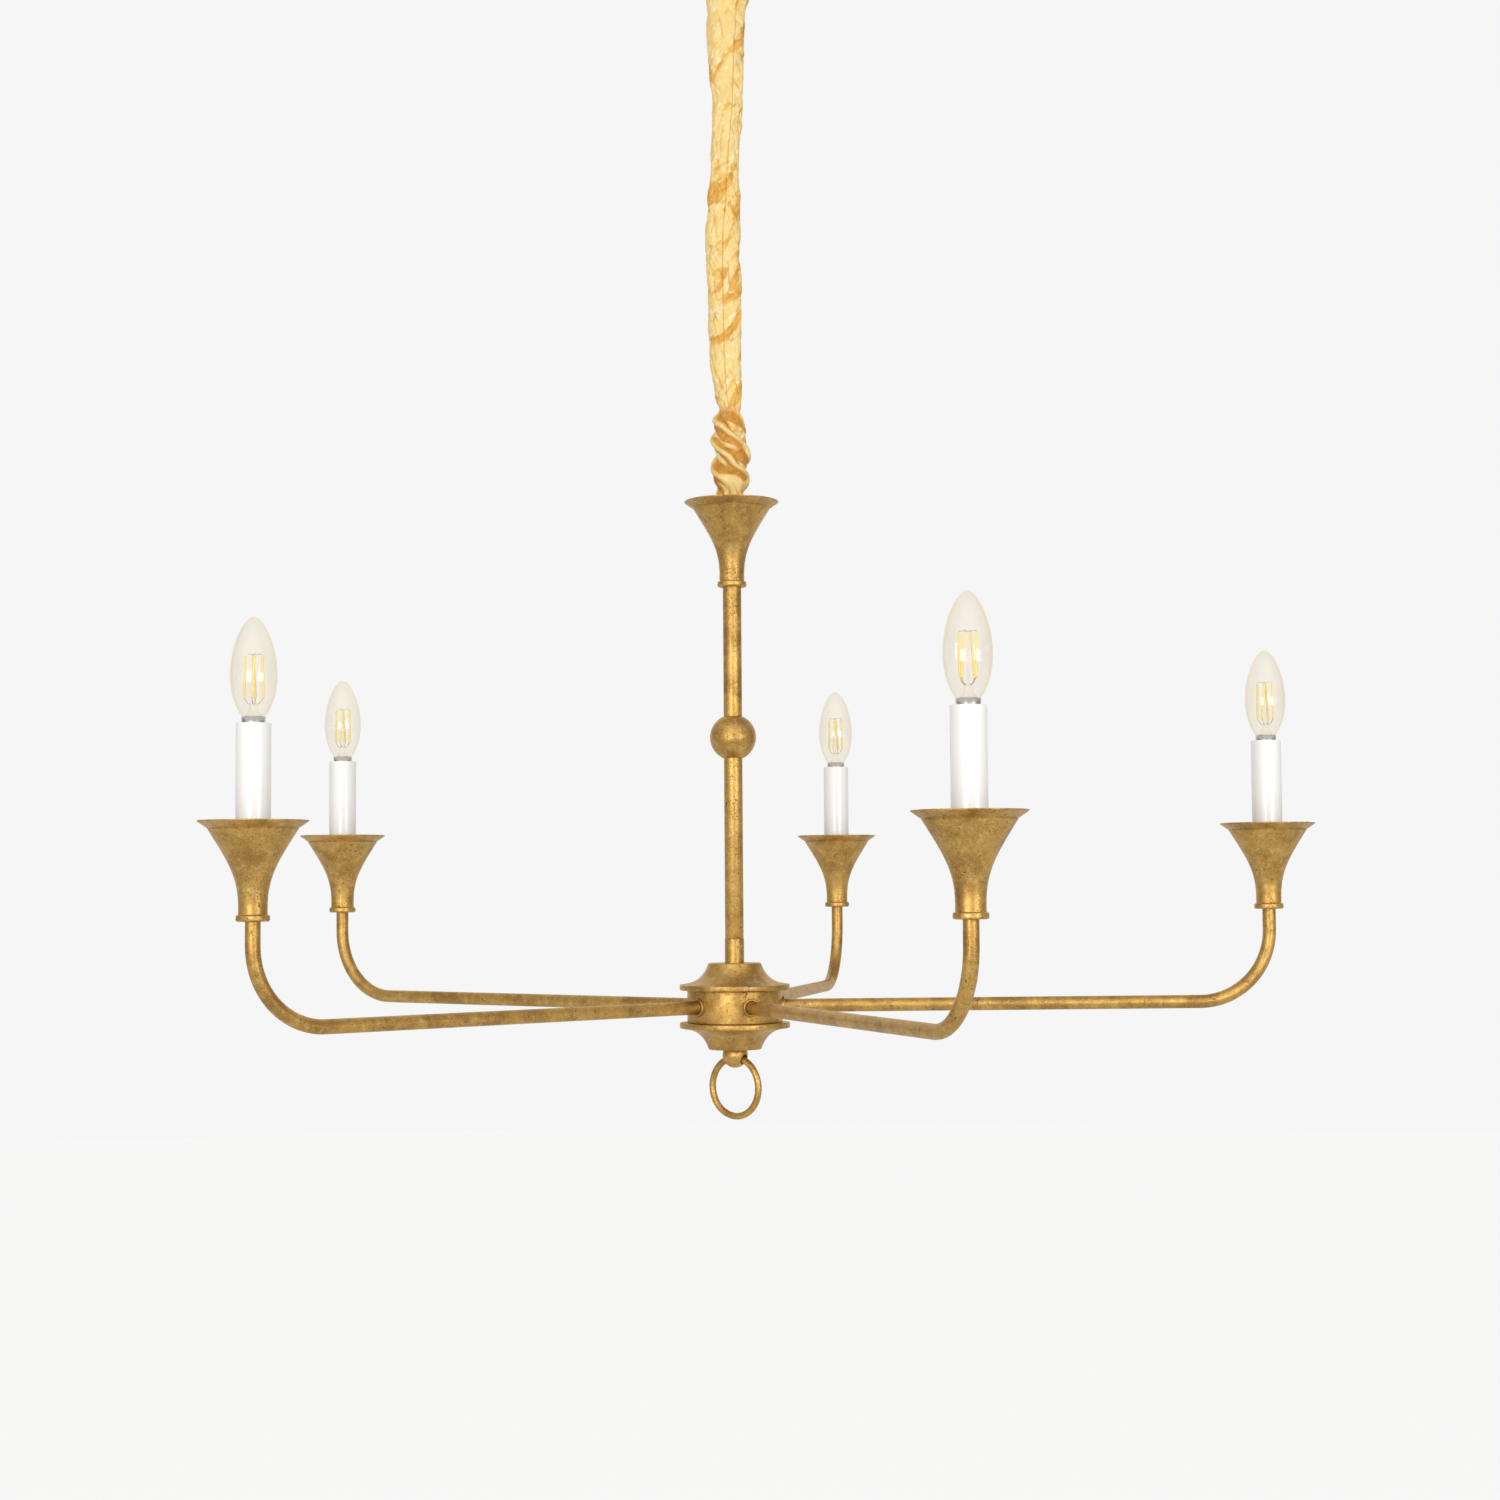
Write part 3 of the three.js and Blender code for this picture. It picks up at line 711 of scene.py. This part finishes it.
class MakeVelvet(Build):
    """Velvet sleeve over the chain: flattened, creased and twisted above the top cup"""

    bl_idname = "chandelier.velvet"
    bl_label = "Velvet sleeve"

    around = 132
    along = 400
    # Heights here and below are in mm above the top cup's rim.
    # Each row: height, half width, half depth and sideways drift, in mm.
    stations = [
        (-20.0, 12.2, 12.2, 0.0), (0.0, 10.8, 10.8, 0.0), (8.0, 10.4, 10.4, -0.5),
        (15.0, 13.0, 12.0, -0.8), (30.0, 14.0, 12.2, -1.0), (47.0, 13.6, 12.0, 0.0),
        (60.0, 13.2, 11.2, -1.8), (71.0, 10.8, 9.8, -2.2), (80.0, 8.2, 8.6, -0.8),
        (92.0, 10.8, 9.4, -2.4), (125.0, 13.5, 9.6, -4.0), (196.0, 14.2, 9.6, -5.2),
        (238.0, 14.8, 9.6, -6.0), (262.0, 13.8, 9.6, -4.6), (311.0, 11.8, 9.6, -3.0),
        (347.0, 12.8, 9.8, -1.2), (401.0, 15.6, 10.8, -2.2), (434.0, 16.4, 12.0, -1.4),
        (448.0, 17.8, 12.8, 0.0), (460.0, 18.0, 13.0, 0.0),
    ]

    def section(self, height):
        """Half width, half depth and drift at a height, on a smooth line through the stations."""
        rows = self.stations
        k = max(i for i in range(len(rows) - 1) if rows[i][0] <= height or i == 0)
        a, b = rows[k], rows[k + 1]
        before, after = rows[max(k - 1, 0)], rows[min(k + 2, len(rows) - 1)]
        span = b[0] - a[0]
        t = (height - a[0]) / span
        found = []
        for c in (1, 2, 3):
            slope_a = (b[c] - before[c]) / (b[0] - before[0]) * span
            slope_b = (after[c] - a[c]) / (after[0] - a[0]) * span
            cubic = (2 * t**3 - 3 * t**2 + 1) * a[c] + (t**3 - 2 * t**2 + t) * slope_a
            found.append(cubic + (-2 * t**3 + 3 * t**2) * b[c] + (t**3 - t**2) * slope_b)
        return found

    def twist(self, height):
        """How twisted the sleeve is, from 0 to 1: only between the cup and the pinch."""
        return clamp((height - 4.0) / 12.0) * clamp((86.0 - height) / 14.0)

    @staticmethod
    def ripple(angle, level, spread=1.0, size=1.0):
        """Smooth noise on a tube: a wider spread or a larger size gives finer ripples."""
        point = Vector((math.cos(angle) * spread, math.sin(angle) * spread, level))
        return noise.noise(point * size)

    def folds(self, angle, height):
        """Outward shift in mm, and painted shade from 0 to 1: darker in the creases, in the pleat
        valleys of the gather at the cup and in the twist's hollows.
        """
        soft = self.ripple(angle, height / 26.0, 1.1, 1.2) * 1.6
        crease = 1.0 - abs(self.ripple(angle, height / 30.0 + 3.7, size=1.3)) * 5.0
        crossing = 1.0 - abs(self.ripple(angle + height / 40.0, height / 50.0, size=1.4)) * 5.5
        sharp = max(crease, 0.0) ** 2 + max(crossing, 0.0) ** 2
        fine = self.ripple(angle, height / 7.0, 4.0) * 0.5
        twist = self.twist(height)
        wound_shift, wound_shade = self.wound(angle, height)
        gather = math.exp(-(((height - 2.0) / 9.0) ** 2))
        pleat = math.sin(9.0 * angle + height / 11.0) * gather
        shift = (soft - sharp * 0.8 + fine) * (1.0 - 0.6 * twist)
        shift += twist * wound_shift + pleat * 0.9
        flare = clamp((height - 434.0) / 12.0)
        shift += flare * (0.8 - 0.85 * shift)
        depth = twist * wound_shade + sharp * 0.3 * (1.0 - twist) + gather * (0.3 - 0.3 * pleat)
        return shift, clamp(depth)

    def wound(self, angle, height):
        """Ridges of the twisted part, which climb around it, with a deep hollow under each, and
        the painted shade there: amber, darker towards the top, and lifted along the ridges.
        """
        wobble = 0.45 * self.ripple(angle, height / 16.0)
        winding = math.radians(5.0 * (58.0 - height) - 90.0) + wobble
        shift = 0.0
        light = 0.0
        for turn, size in ((0.0, 1.0), (2.35, 0.75), (4.3, 0.9)):
            away = (angle - winding - turn + math.pi) % (2 * math.pi) - math.pi
            ridge = math.exp(-((away / 0.3) ** 2))
            shift += size * (3.4 * ridge - 2.8 * math.exp(-(((away - 0.65) / 0.32) ** 2)))
            light = max(light, ridge)
        marks = self.ripple(angle - winding, height / 17.0 + 4.0, 1.2)
        amber = marks * 2.4 + 0.75 + (height - 46.0) / 60.0
        # Painted shade: amber that grows towards the top, lifted along the ridges.
        return shift, clamp(amber * 1.5) * (1.0 - 0.85 * light)

    def make(self, sizes):
        low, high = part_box("velvet_sleeve")
        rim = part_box("top_cup")[1].z
        build = bmesh.new()
        # Per-vertex painted shade for the folds and the twist, and the seam's place.
        fold_shade_layer = build.verts.layers.float.new("fold_shade")
        seam_layer = build.verts.layers.float.new("seam")
        rings = []
        for i in range(self.along + 1):
            z = low.z + (high.z - low.z) * i / self.along
            height = (z - rim) / MM
            width, depth, drift = self.section(height)
            seam_at = -math.pi / 2 + 0.55 * min(max((height - 230.0) / 200.0, -0.15), 1.0)
            ring = []
            for k in range(self.around):
                angle = 2 * math.pi * k / self.around
                shift, fold_shade = self.folds(angle, height)
                away = abs((angle - seam_at + math.pi) % (2 * math.pi) - math.pi) * width
                # The seam is a real groove; its value also paints shade along it.
                seam = max(1.0 - away / 0.9, 0.0) * (1.0 - self.twist(height))
                shift -= seam * 0.55
                point = Vector((
                    (width + shift) * math.cos(angle) + drift,
                    (depth + shift) * math.sin(angle), 0.0,
                ))
                vert = build.verts.new((point.x * MM, point.y * MM, z))
                vert[fold_shade_layer] = fold_shade
                vert[seam_layer] = seam
                ring.append(vert)
            rings.append(ring)
        for lower, upper in pairs(rings, False):
            for k in range(self.around):
                m = (k + 1) % self.around
                build.faces.new((lower[k], lower[m], upper[m], upper[k]))
        sleeve = piece(
            "velvet_over_chain", build, "gold_velvet", BODY, ["velvet_sleeve"], cusp=75.0
        )
        cloth = sleeve.modifiers.new("cloth thickness", "SOLIDIFY")
        cloth.thickness = sizes.velvet_wall
        cloth.offset = -1.0


class MakeCeiling(Build):
    """Bracket, terminal block, spun rose and its collar"""

    bl_idname = "chandelier.ceiling"
    bl_label = "Ceiling fitting"

    screw_holes = (-38.0, 38.0)  # mm along the bar
    bar_height = 3.0

    def make(self, sizes):
        low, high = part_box("ceiling_bracket")
        bar_low = Vector((low.x, low.y, high.z - self.bar_height * MM))
        bracket = bevelled_box(bar_low, high, 0.7 * MM)
        boss = [(5.3, -12.0), (8.4, -12.0), (9.0, -11.2), (9.0, -2.9), (5.3, -2.9)]
        turned(softened(boss), build=bracket)
        bar = piece("ceiling_bar", bracket, "zinc_steel", "ceiling", ["ceiling_bracket"])
        for x in self.screw_holes:
            drill(bar, 2.5, -8, 4, Vector((x * MM, 0, 0)), around=32)
        self.terminal("ceiling_terminals", "ceiling_terminal_block", "ceiling")
        outline = [(60.0, -1.0), (60.0, -4.2), (59.4, -4.9), (57.2, -5.6)]
        slope = bezier((57.0, -6.0), (44.0, -10.0), (21.0, -18.0), (17.0, -40.0), 20)
        neck = [(17.0, -44.4), (16.4, -45.0), (5.4, -45.0), (5.4, -43.2), (15.5, -43.2)]
        inside = [(r - 1.2, z + 1.0) for r, z in reversed(slope)]
        rose = outline + slope + neck + inside + [(58.6, -3.8), (58.6, -1.0)]
        piece("spun_rose", turned(rose), GOLD, "ceiling", ["ceiling_rose"])
        nut = [
            (5.3, 0.0), (10.0, 0.0), (10.0, -1.6), (9.5, -2.1),
            (10.0, -2.6), (10.0, -5.0), (8.5, -7.0), (5.3, -7.0),
        ]
        collar = turned(softened(nut), Vector((0, 0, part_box("rose_collar")[1].z)))
        piece("turned_collar", collar, GOLD, "ceiling", ["rose_collar"])

    @staticmethod
    def terminal(name, node, body):
        """A connector block with its screw wells."""
        low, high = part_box(node)
        block = piece(name, bevelled_box(low, high, 0.9 * MM), "moulded_plastic", body, [node])
        for along in (-0.25, 0.25):
            y = (low.y + high.y) / 2 + along * (high.y - low.y)
            drill(block, 2.0, -1, 3.2, Vector(((low.x + high.x) / 2, y, low.z)), around=24)


class MakeSuspension(Build):
    """Hook, wire chain and the hang loop in the top cup"""

    bl_idname = "chandelier.suspension"
    bl_label = "Suspension"

    links = 16
    # Centre-line radius of the links' ends and of the eyes, and radius of the eyes' wire, in mm.
    link_radius = 5.1
    eye_radius = 8.0
    eye_wire = 2.2

    def link(self, build, middle, half, wire, crosswise):
        """A wire link: two half rings joined by straight sides."""
        radius = self.link_radius * MM
        straight = half - radius
        line = []
        for side in (1, -1):
            for i in range(13):
                a = math.pi * i / 12 + (0.0 if side > 0 else math.pi)
                x, z = radius * math.cos(a), radius * math.sin(a) + side * straight
                line.append(middle + (Vector((0, x, z)) if crosswise else Vector((x, 0, z))))
        return swept(line, wire, sides=14, looped=True, build=build)

    def eye(self, name, node, body, eye_at, shank):
        """A closed wire eye on a threaded shank."""
        line = []
        for i in range(64):
            a = 2 * math.pi * i / 64
            line.append(eye_at + Vector((math.cos(a), 0, math.sin(a))) * (self.eye_radius * MM))
        build = swept(line, self.eye_wire * MM, sides=20, looped=True)
        low, high = sorted(shank)
        pitch = 1.0
        outline = [(0.0, low), (4.6, low)]
        count = int((high - low - 6.0) / pitch)
        for i in range(count):
            outline += [(5.0, low + 0.5 + i * pitch), (4.6, low + 1.0 + i * pitch)]
        outline += [(4.6, high - 4.0), (5.0, high - 3.0), (5.0, high), (0.0, high)]
        if shank[0] > shank[1]:
            outline = [(r, low + high - z) for r, z in reversed(outline)]
        turned(outline, eye_at, around=40, build=build)
        piece(name, build, GOLD, body, [node])

    def make(self, sizes):
        wire = sizes.link_wire
        reach = (self.eye_radius + self.eye_wire) * MM
        low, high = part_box("ceiling_hook")
        eye_at = Vector((0, 0, low.z + reach))
        self.eye("ceiling_eye", "ceiling_hook", "ceiling", eye_at, ((high.z - eye_at.z) / MM, 7.0))
        low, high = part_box("hang_loop")
        eye_at = Vector((0, 0, high.z - reach))
        self.eye("hang_eye", "hang_loop", BODY, eye_at, ((low.z - eye_at.z) / MM, -7.0))
        low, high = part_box("top_link")
        half = (high.z - low.z) / 2 - wire
        link = self.link(bmesh.new(), (low + high) / 2, half, wire, True)
        piece("first_link", link, "chain_brass", "hanging_link", ["top_link"], cusp=60.0)
        low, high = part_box("chain")
        pitch = (high.z - low.z - 2 * (half + wire)) / (self.links - 1)
        build = bmesh.new()
        for i in range(self.links):
            middle = Vector((0, 0, high.z - wire - half - i * pitch))
            self.link(build, middle, half, wire, i % 2 == 1)
        piece("wire_chain", build, "chain_brass", BODY, ["chain"], cusp=60.0)


class MakeStem(Build):
    """Top cup, two stem tubes and the ball between them"""

    bl_idname = "chandelier.stem"
    bl_label = "Stem"

    def make(self, sizes):
        rim = Vector((0, 0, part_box("top_cup")[1].z))
        cup("top_trumpet", "top_cup", rim, 8.3)
        radius, bore = sizes.stem_radius / MM, 6.4
        at, span = standing("upper_stem")
        tube = [(bore, 0.0), (radius, 0.0), (radius, span), (bore, span)]
        piece("upper_tube", turned(softened(tube), at), GOLD, BODY, ["upper_stem"])
        at, span = standing("lower_stem")
        foot = (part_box("hub_top_cap")[1].z - at.z) / MM + 21.0
        tube = [
            (bore, 0.0), (8.35, 0.0), (8.35, foot - 0.3), (8.15, foot), (7.85, foot + 0.15),
            (radius, foot + 0.5), (radius, span), (bore, span),
        ]
        piece("lower_tube", turned(tube, at), GOLD, BODY, ["lower_stem"])
        middle = centre("stem_ball")
        ball_radius, hole = 20.0, 8.3
        polar = math.degrees(math.asin(hole / ball_radius))
        ball = arc((0.0, 0.0), ball_radius, -90.0 + polar, 90.0 - polar, 48)
        piece("stem_globe", turned(softened(ball, 0.5), middle), GOLD, BODY, ["stem_ball"])


class MakeHub(Build):
    """Drum with its arm bosses, two spun caps, tie rod, finial ball and loose ring"""

    bl_idname = "chandelier.hub"
    bl_label = "Hub and ring"

    def cap_outline(self, bore):
        """A hub cap from its flange up, as if it stood on the drum."""
        flange = [
            (46.9, 0.0), *arc((46.6, 0.9), 0.9, -60, 0, 3),
            *arc((46.6, 3.8), 0.9, 0, 80, 4), (45.0, 4.85), (43.6, 4.95),
        ]
        cove = bezier((43.0, 5.25), (32.5, 6.6), (27.3, 12.0), (23.6, 20.3), 22)
        crown = [
            (23.25, 21.4), (22.95, 22.4), (22.3, 23.0),
            (bore + 0.2, 23.0), (bore, 22.8), (bore, 21.2),
        ]
        inside = [(21.4, 21.2), (22.4, 19.6), (26.0, 11.6), (31.6, 5.9), (38.0, 3.2), (38.0, 0.0)]
        return flange + cove + crown + inside

    def make(self, sizes):
        plane = Vector((0, 0, arm_plane()))
        cap_foot = (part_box("hub_top_cap")[0].z - plane.z) / MM
        top = [(r, z + cap_foot) for r, z in self.cap_outline(8.65)]
        piece("top_spun_cap", turned(top, plane), GOLD, BODY, ["hub_top_cap"])
        bottom = [(r, -z - cap_foot) for r, z in self.cap_outline(4.3)]
        piece("bottom_spun_cap", turned(bottom, plane), GOLD, BODY, ["hub_bottom_cap"])
        self.drum(plane, sizes)
        MakeCeiling.terminal("hub_terminals", "hub_terminal_block", BODY)
        at, span = standing("tie_rod")
        rod = [(4.4, 0.0), (5.6, 0.0)]
        for i in range(int(span) - 1):
            rod += [(6.0, i + 0.5), (5.6, i + 1.0)]
        rod += [(5.6, span), (4.4, span)]
        piece("threaded_tie", turned(rod, at, around=48), "zinc_steel", BODY, ["tie_rod"])
        self.finial(sizes)

    def drum(self, plane, sizes):
        """The barrel, drilled for each arm, with a raised bead round each hole."""
        half = (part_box("hub_drum")[1].z - plane.z) / MM
        wall = [(38.5, -half), (41.0, -half), (41.0, half), (38.5, half)]
        build = turned(softened(wall, 0.5), plane)
        drum = piece("hub_barrel", build, GOLD, BODY, ["hub_drum"])
        reach = sizes.arm_radius / MM + 0.25
        bead = [
            (reach, 39.2), (7.75, 39.2), *arc((6.95, 42.1), 0.95, -5, 95, 7),
            (reach + 0.2, 43.0), (reach, 42.6),
        ]
        for arm in ARMS:
            turn = spoke(arm)
            drill(drum, reach, 36, 44, plane, turn)
            piece(f"arm_boss_{arm}", turned(bead, plane, turn, around=64), GOLD, BODY)

    def finial(self, sizes):
        """The ball on its stud, cross-drilled, and the ring that hangs in it."""
        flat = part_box("hub_bottom_cap")[0].z
        low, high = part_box("finial_ball")
        radius = (high.y - low.y) / 2 / MM
        middle = Vector((0, 0, low.z + radius * MM))
        cut = (flat - middle.z) / MM - 0.3
        top_angle = math.degrees(math.asin(cut / radius))
        ball = arc((0, 0), radius, -90, top_angle, 40)
        stud = (high.z - middle.z) / MM
        top = [(4.0, cut), (4.0, stud - 0.4), (3.6, stud), (0.0, stud)]
        build = turned([(0.0, -radius), *ball[1:], *top], middle)
        finial = piece("finial", build, GOLD, BODY, ["finial_ball"])
        ring_low, ring_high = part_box("finial_ring")
        spread = ring_high - ring_low
        wire = 2 * sizes.ring_wire
        heading = Matrix.Rotation(math.atan2(-spread.y + wire, spread.x - wire), 4, "Z")
        reach = spread.z / 2 - sizes.ring_wire
        hub = (ring_low + ring_high) / 2
        hole_at = Vector((0, 0, hub.z + reach - MM))
        drill(finial, 4.2, -13, 13, hole_at, heading @ LAID_OVER)
        line = []
        for i in range(144):
            a = 2 * math.pi * i / 144
            wobble = 1.0 + 0.004 * math.sin(3 * a + 0.7)
            line.append(hub + heading @ (Vector((math.sin(a), 0, math.cos(a))) * reach * wobble))
        ring = swept(line, sizes.ring_wire, sides=28, looped=True)
        piece("loose_ring", ring, GOLD, "pull_ring", ["finial_ring"])


class MakeArms(Build):
    """Five bent tubes with their nuts and trumpet cups"""

    bl_idname = "chandelier.arms"
    bl_label = "Arms and cups"

    bend_steps = 28

    def make(self, sizes):
        for arm in ARMS:
            self.tube(arm, sizes)
            self.nut(arm, sizes)
            rim = candle_axis(arm)
            rim.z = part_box(f"cup_{arm}")[1].z
            cup(f"trumpet_{arm}", f"cup_{arm}", rim, 6.0)

    def tube(self, arm, sizes):
        """A bent tube, open at both ends: straight out of the hub, then up under its cup."""
        plane = Vector((0, 0, arm_plane()))
        reach = (candle_axis(arm) - plane).length
        bend = sizes.arm_bend
        inner_end = 31.0 * MM
        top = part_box(f"arm_{arm}")[1].z - plane.z
        line = [Vector((inner_end, 0, 0)), Vector((inner_end + 20 * MM, 0, 0))]
        for i in range(self.bend_steps + 1):
            a = math.pi / 2 * i / self.bend_steps
            line.append(Vector((reach - bend + bend * math.sin(a), 0, bend * (1 - math.cos(a)))))
        line.append(Vector((reach, 0, top)))
        turn = out_along(arm)
        line = [plane + turn @ point for point in line]
        build = swept(line, sizes.arm_radius, bore=0.75 * sizes.arm_radius, sides=40)
        piece(f"arm_tube_{arm}", build, GOLD, BODY, [f"arm_{arm}"])

    def nut(self, arm, sizes):
        """A hexagon nut, chamfered on both faces, inside the drum."""
        bore = sizes.arm_radius / MM + 0.3
        outline = [(bore, 32.6), (8.6, 32.6), (9.6, 33.2), (9.6, 36.0), (8.6, 36.6), (bore, 36.6)]
        build = turned(outline, Vector((0, 0, arm_plane())), spoke(arm), around=6)
        piece(f"hex_nut_{arm}", build, "zinc_steel", BODY, [f"arm_nut_{arm}"])


class MakeCandles(Build):
    """Lampholders inside glossy white candle sleeves"""

    bl_idname = "chandelier.candles"
    bl_label = "Candle sleeves"

    well_floor = 92.0  # mm above the lampholder's foot

    def make(self, sizes):
        for arm in ARMS:
            axis = candle_axis(arm)
            at, span = standing(f"candle_sleeve_{arm}", axis)
            tube = [(11.8, 0.0), (13.0, 0.0), (13.0, span), (11.8, span)]
            build = turned(softened(tube, 0.55), at)
            piece(f"white_candle_{arm}", build, "white_sleeve", BODY, [f"candle_sleeve_{arm}"])
            self.holder(arm, axis)

    def holder(self, arm, axis):
        """A lampholder: tapered foot, flange under the candle, ribbed neck and threaded well."""
        at, span = standing(f"lampholder_{arm}", axis)
        seat = (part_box(f"candle_sleeve_{arm}")[0].z - at.z) / MM - 0.3
        outline = [(0.0, 0.0), (8.0, 0.0), (12.4, seat - 4.2), (13.0, seat - 3.2)]
        outline += [(13.0, seat), (11.0, seat)]
        for i in range(6):
            rib = seat + 14.0 + i * 8.0
            outline += [(11.0, rib), (10.6, rib + 0.8), (10.6, rib + 2.4), (11.0, rib + 3.2)]
        outline += [(11.0, span - 0.6), (10.5, span), (7.9, span), (7.6, span - 0.4)]
        for i in range(6):
            outline += [(7.6, span - 3.2 - i * 3.2), (8.3, span - 4.8 - i * 3.2)]
        outline += [(7.6, self.well_floor), (0.0, self.well_floor)]
        build = turned(outline, at, around=64)
        piece(f"socket_{arm}", build, "moulded_plastic", BODY, [f"lampholder_{arm}"])


class MakeBulbs(Build):
    """Candle bulbs: nickel cap, blown glass, glass mount, wires and phosphor rods"""

    bl_idname = "chandelier.bulbs"
    bl_label = "Bulbs"

    rods = 4
    lean = 0.3  # radians round from a rod's foot to its head

    def make(self, sizes):
        for arm in ARMS:
            axis = candle_axis(arm)
            self.cap(arm, axis)
            self.glass(arm, axis, sizes)
            self.works(arm, axis)

    def cap(self, arm, axis):
        """The screw cap: contact, insulator, rolled thread and flared skirt."""
        at, skirt = standing(f"bulb_cap_{arm}", axis)
        outline = [(0.0, 0.0), (2.4, 0.1), (2.9, 0.9), (4.2, 1.6), (6.0, 3.0)]
        for i in range(5):
            thread = 4.2 + i * 3.6
            outline += [(6.25, thread), (6.75, thread + 0.8)]
            outline += [(6.75, thread + 2.0), (6.25, thread + 2.8)]
        outline += [(6.5, 23.4), (7.6, 24.4), (8.8, 26.1), (8.8, skirt - 1.0)]
        outline += [(9.0, skirt - 0.5), (8.7, skirt), (0.0, skirt)]
        build = turned(outline, at, around=72)
        piece(f"screw_cap_{arm}", build, "nickel", f"bulb_{arm}", [f"bulb_cap_{arm}"])

    def glass(self, arm, axis, sizes):
        """Blown glass, open at the neck, drawn to a soft tip."""
        at, tip = standing(f"bulb_glass_{arm}", axis)
        wall = sizes.glass_wall / MM
        neck = bezier((8.9, 0.0), (13.6, 6.5), (17.5, 18.0), (17.5, 30.0), 22)
        crown = bezier((17.5, 30.0), (17.5, 54.0), (6.8, tip), (0.0, tip), 36)
        outside = neck + crown[1:]
        inside = []
        for i in range(len(outside) - 2, -1, -1):
            before, after = Vector(outside[max(i - 1, 0)]), Vector(outside[i + 1])
            run = (after - before).normalized()
            inside.append((max(outside[i][0] - run.y * wall, 0.05), outside[i][1] + run.x * wall))
        inside[-1] = (inside[-1][0], 0.0)
        outline = list(reversed(outside)) + list(reversed([(0.0, tip - wall), *inside]))
        build = turned(outline, at, around=80)
        body, node = f"bulb_{arm}", [f"bulb_glass_{arm}"]
        piece(f"candle_glass_{arm}", build, "clear_glass", body, node, cusp=60.0)

    def works(self, arm, axis):
        """The glass mount, four rods on a slant, and the wires that join them."""
        at = standing(f"bulb_filaments_{arm}", axis)[0]
        body, node = f"bulb_{arm}", [f"bulb_filaments_{arm}"]
        rods_foot, rods_top = 13.8, 45.4
        flare = bezier((5.6, 1.0), (3.7, 2.4), (3.3, 3.4), (3.1, 8.2), 8)
        press = [(2.7, 9.4), (1.5, 10.2), (1.0, 11.4), (0.95, rods_top - 1.0), (1.5, rods_top)]
        outline = [(0.0, 0.1), (6.0, 0.1), (6.1, 0.6), *flare, *press, (0.0, rods_top + 0.6)]
        mount = turned(outline, at, around=40)
        piece(f"glass_mount_{arm}", mount, "clear_glass", body, node)
        yellow, wires = bmesh.new(), bmesh.new()
        crown = at + Vector((0.0, 0.0, rods_top + 0.4)) * MM
        for i in range(self.rods):
            a = 2 * math.pi * (i + 0.5) / self.rods + math.radians(11.25) * (arm - 1)
            b = a + self.lean
            foot = at + Vector((7.2 * math.cos(a), 7.2 * math.sin(a), rods_foot)) * MM
            head = at + Vector((6.4 * math.cos(b), 6.4 * math.sin(b), rods_top - 0.6)) * MM
            run = (head - foot) / 14
            swept([foot + run * k for k in range(15)], 0.95 * MM, sides=16, build=yellow)
            press_top = at + Vector((2.2 * math.cos(a), 2.2 * math.sin(a), 8.6)) * MM
            knee = (press_top + foot) / 2 + Vector((0, 0, -1.4)) * MM
            swept([press_top, knee, foot], 0.3 * MM, sides=8, build=wires)
            swept([head, head + Vector((0, 0, 1.5)) * MM, crown], 0.26 * MM, sides=8, build=wires)
        piece(f"phosphor_rods_{arm}", yellow, "filament_yellow", body, node)
        piece(f"mount_wires_{arm}", wires, "nickel", body, node)


class ChandelierPanel(bpy.types.Panel):
    """Lists the builders and the sizes and colours they use"""

    bl_idname = "VIEW3D_PT_chandelier"
    bl_label = "Chandelier"
    bl_space_type = "VIEW_3D"
    bl_region_type = "UI"
    bl_category = "Chandelier"

    def draw(self, context):
        for operator in OPERATORS:
            self.layout.operator(operator.bl_idname)
        for group in (context.scene.chandelier_sizes, context.scene.chandelier_colours):
            column = self.layout.column(align=True)
            for name in group.__annotations__:
                column.prop(group, name)


OPERATORS = (
    SetStage, MakeVelvet, MakeCeiling, MakeSuspension, MakeStem,
    MakeHub, MakeArms, MakeCandles, MakeBulbs,
)
CLASSES = (ChandelierSizes, ChandelierColours, *OPERATORS, ChandelierPanel)


def register():
    for cls in CLASSES:
        bpy.utils.register_class(cls)
    bpy.types.Scene.chandelier_sizes = PointerProperty(type=ChandelierSizes)
    bpy.types.Scene.chandelier_colours = PointerProperty(type=ChandelierColours)


def unregister():
    del bpy.types.Scene.chandelier_colours
    del bpy.types.Scene.chandelier_sizes
    for cls in reversed(CLASSES):
        bpy.utils.unregister_class(cls)


def main():
    """Builds everything in order."""
    register()
    for operator in OPERATORS:
        group, name = operator.bl_idname.split(".")
        getattr(getattr(bpy.ops, group), name)()


if __name__ == "__main__":
    main()
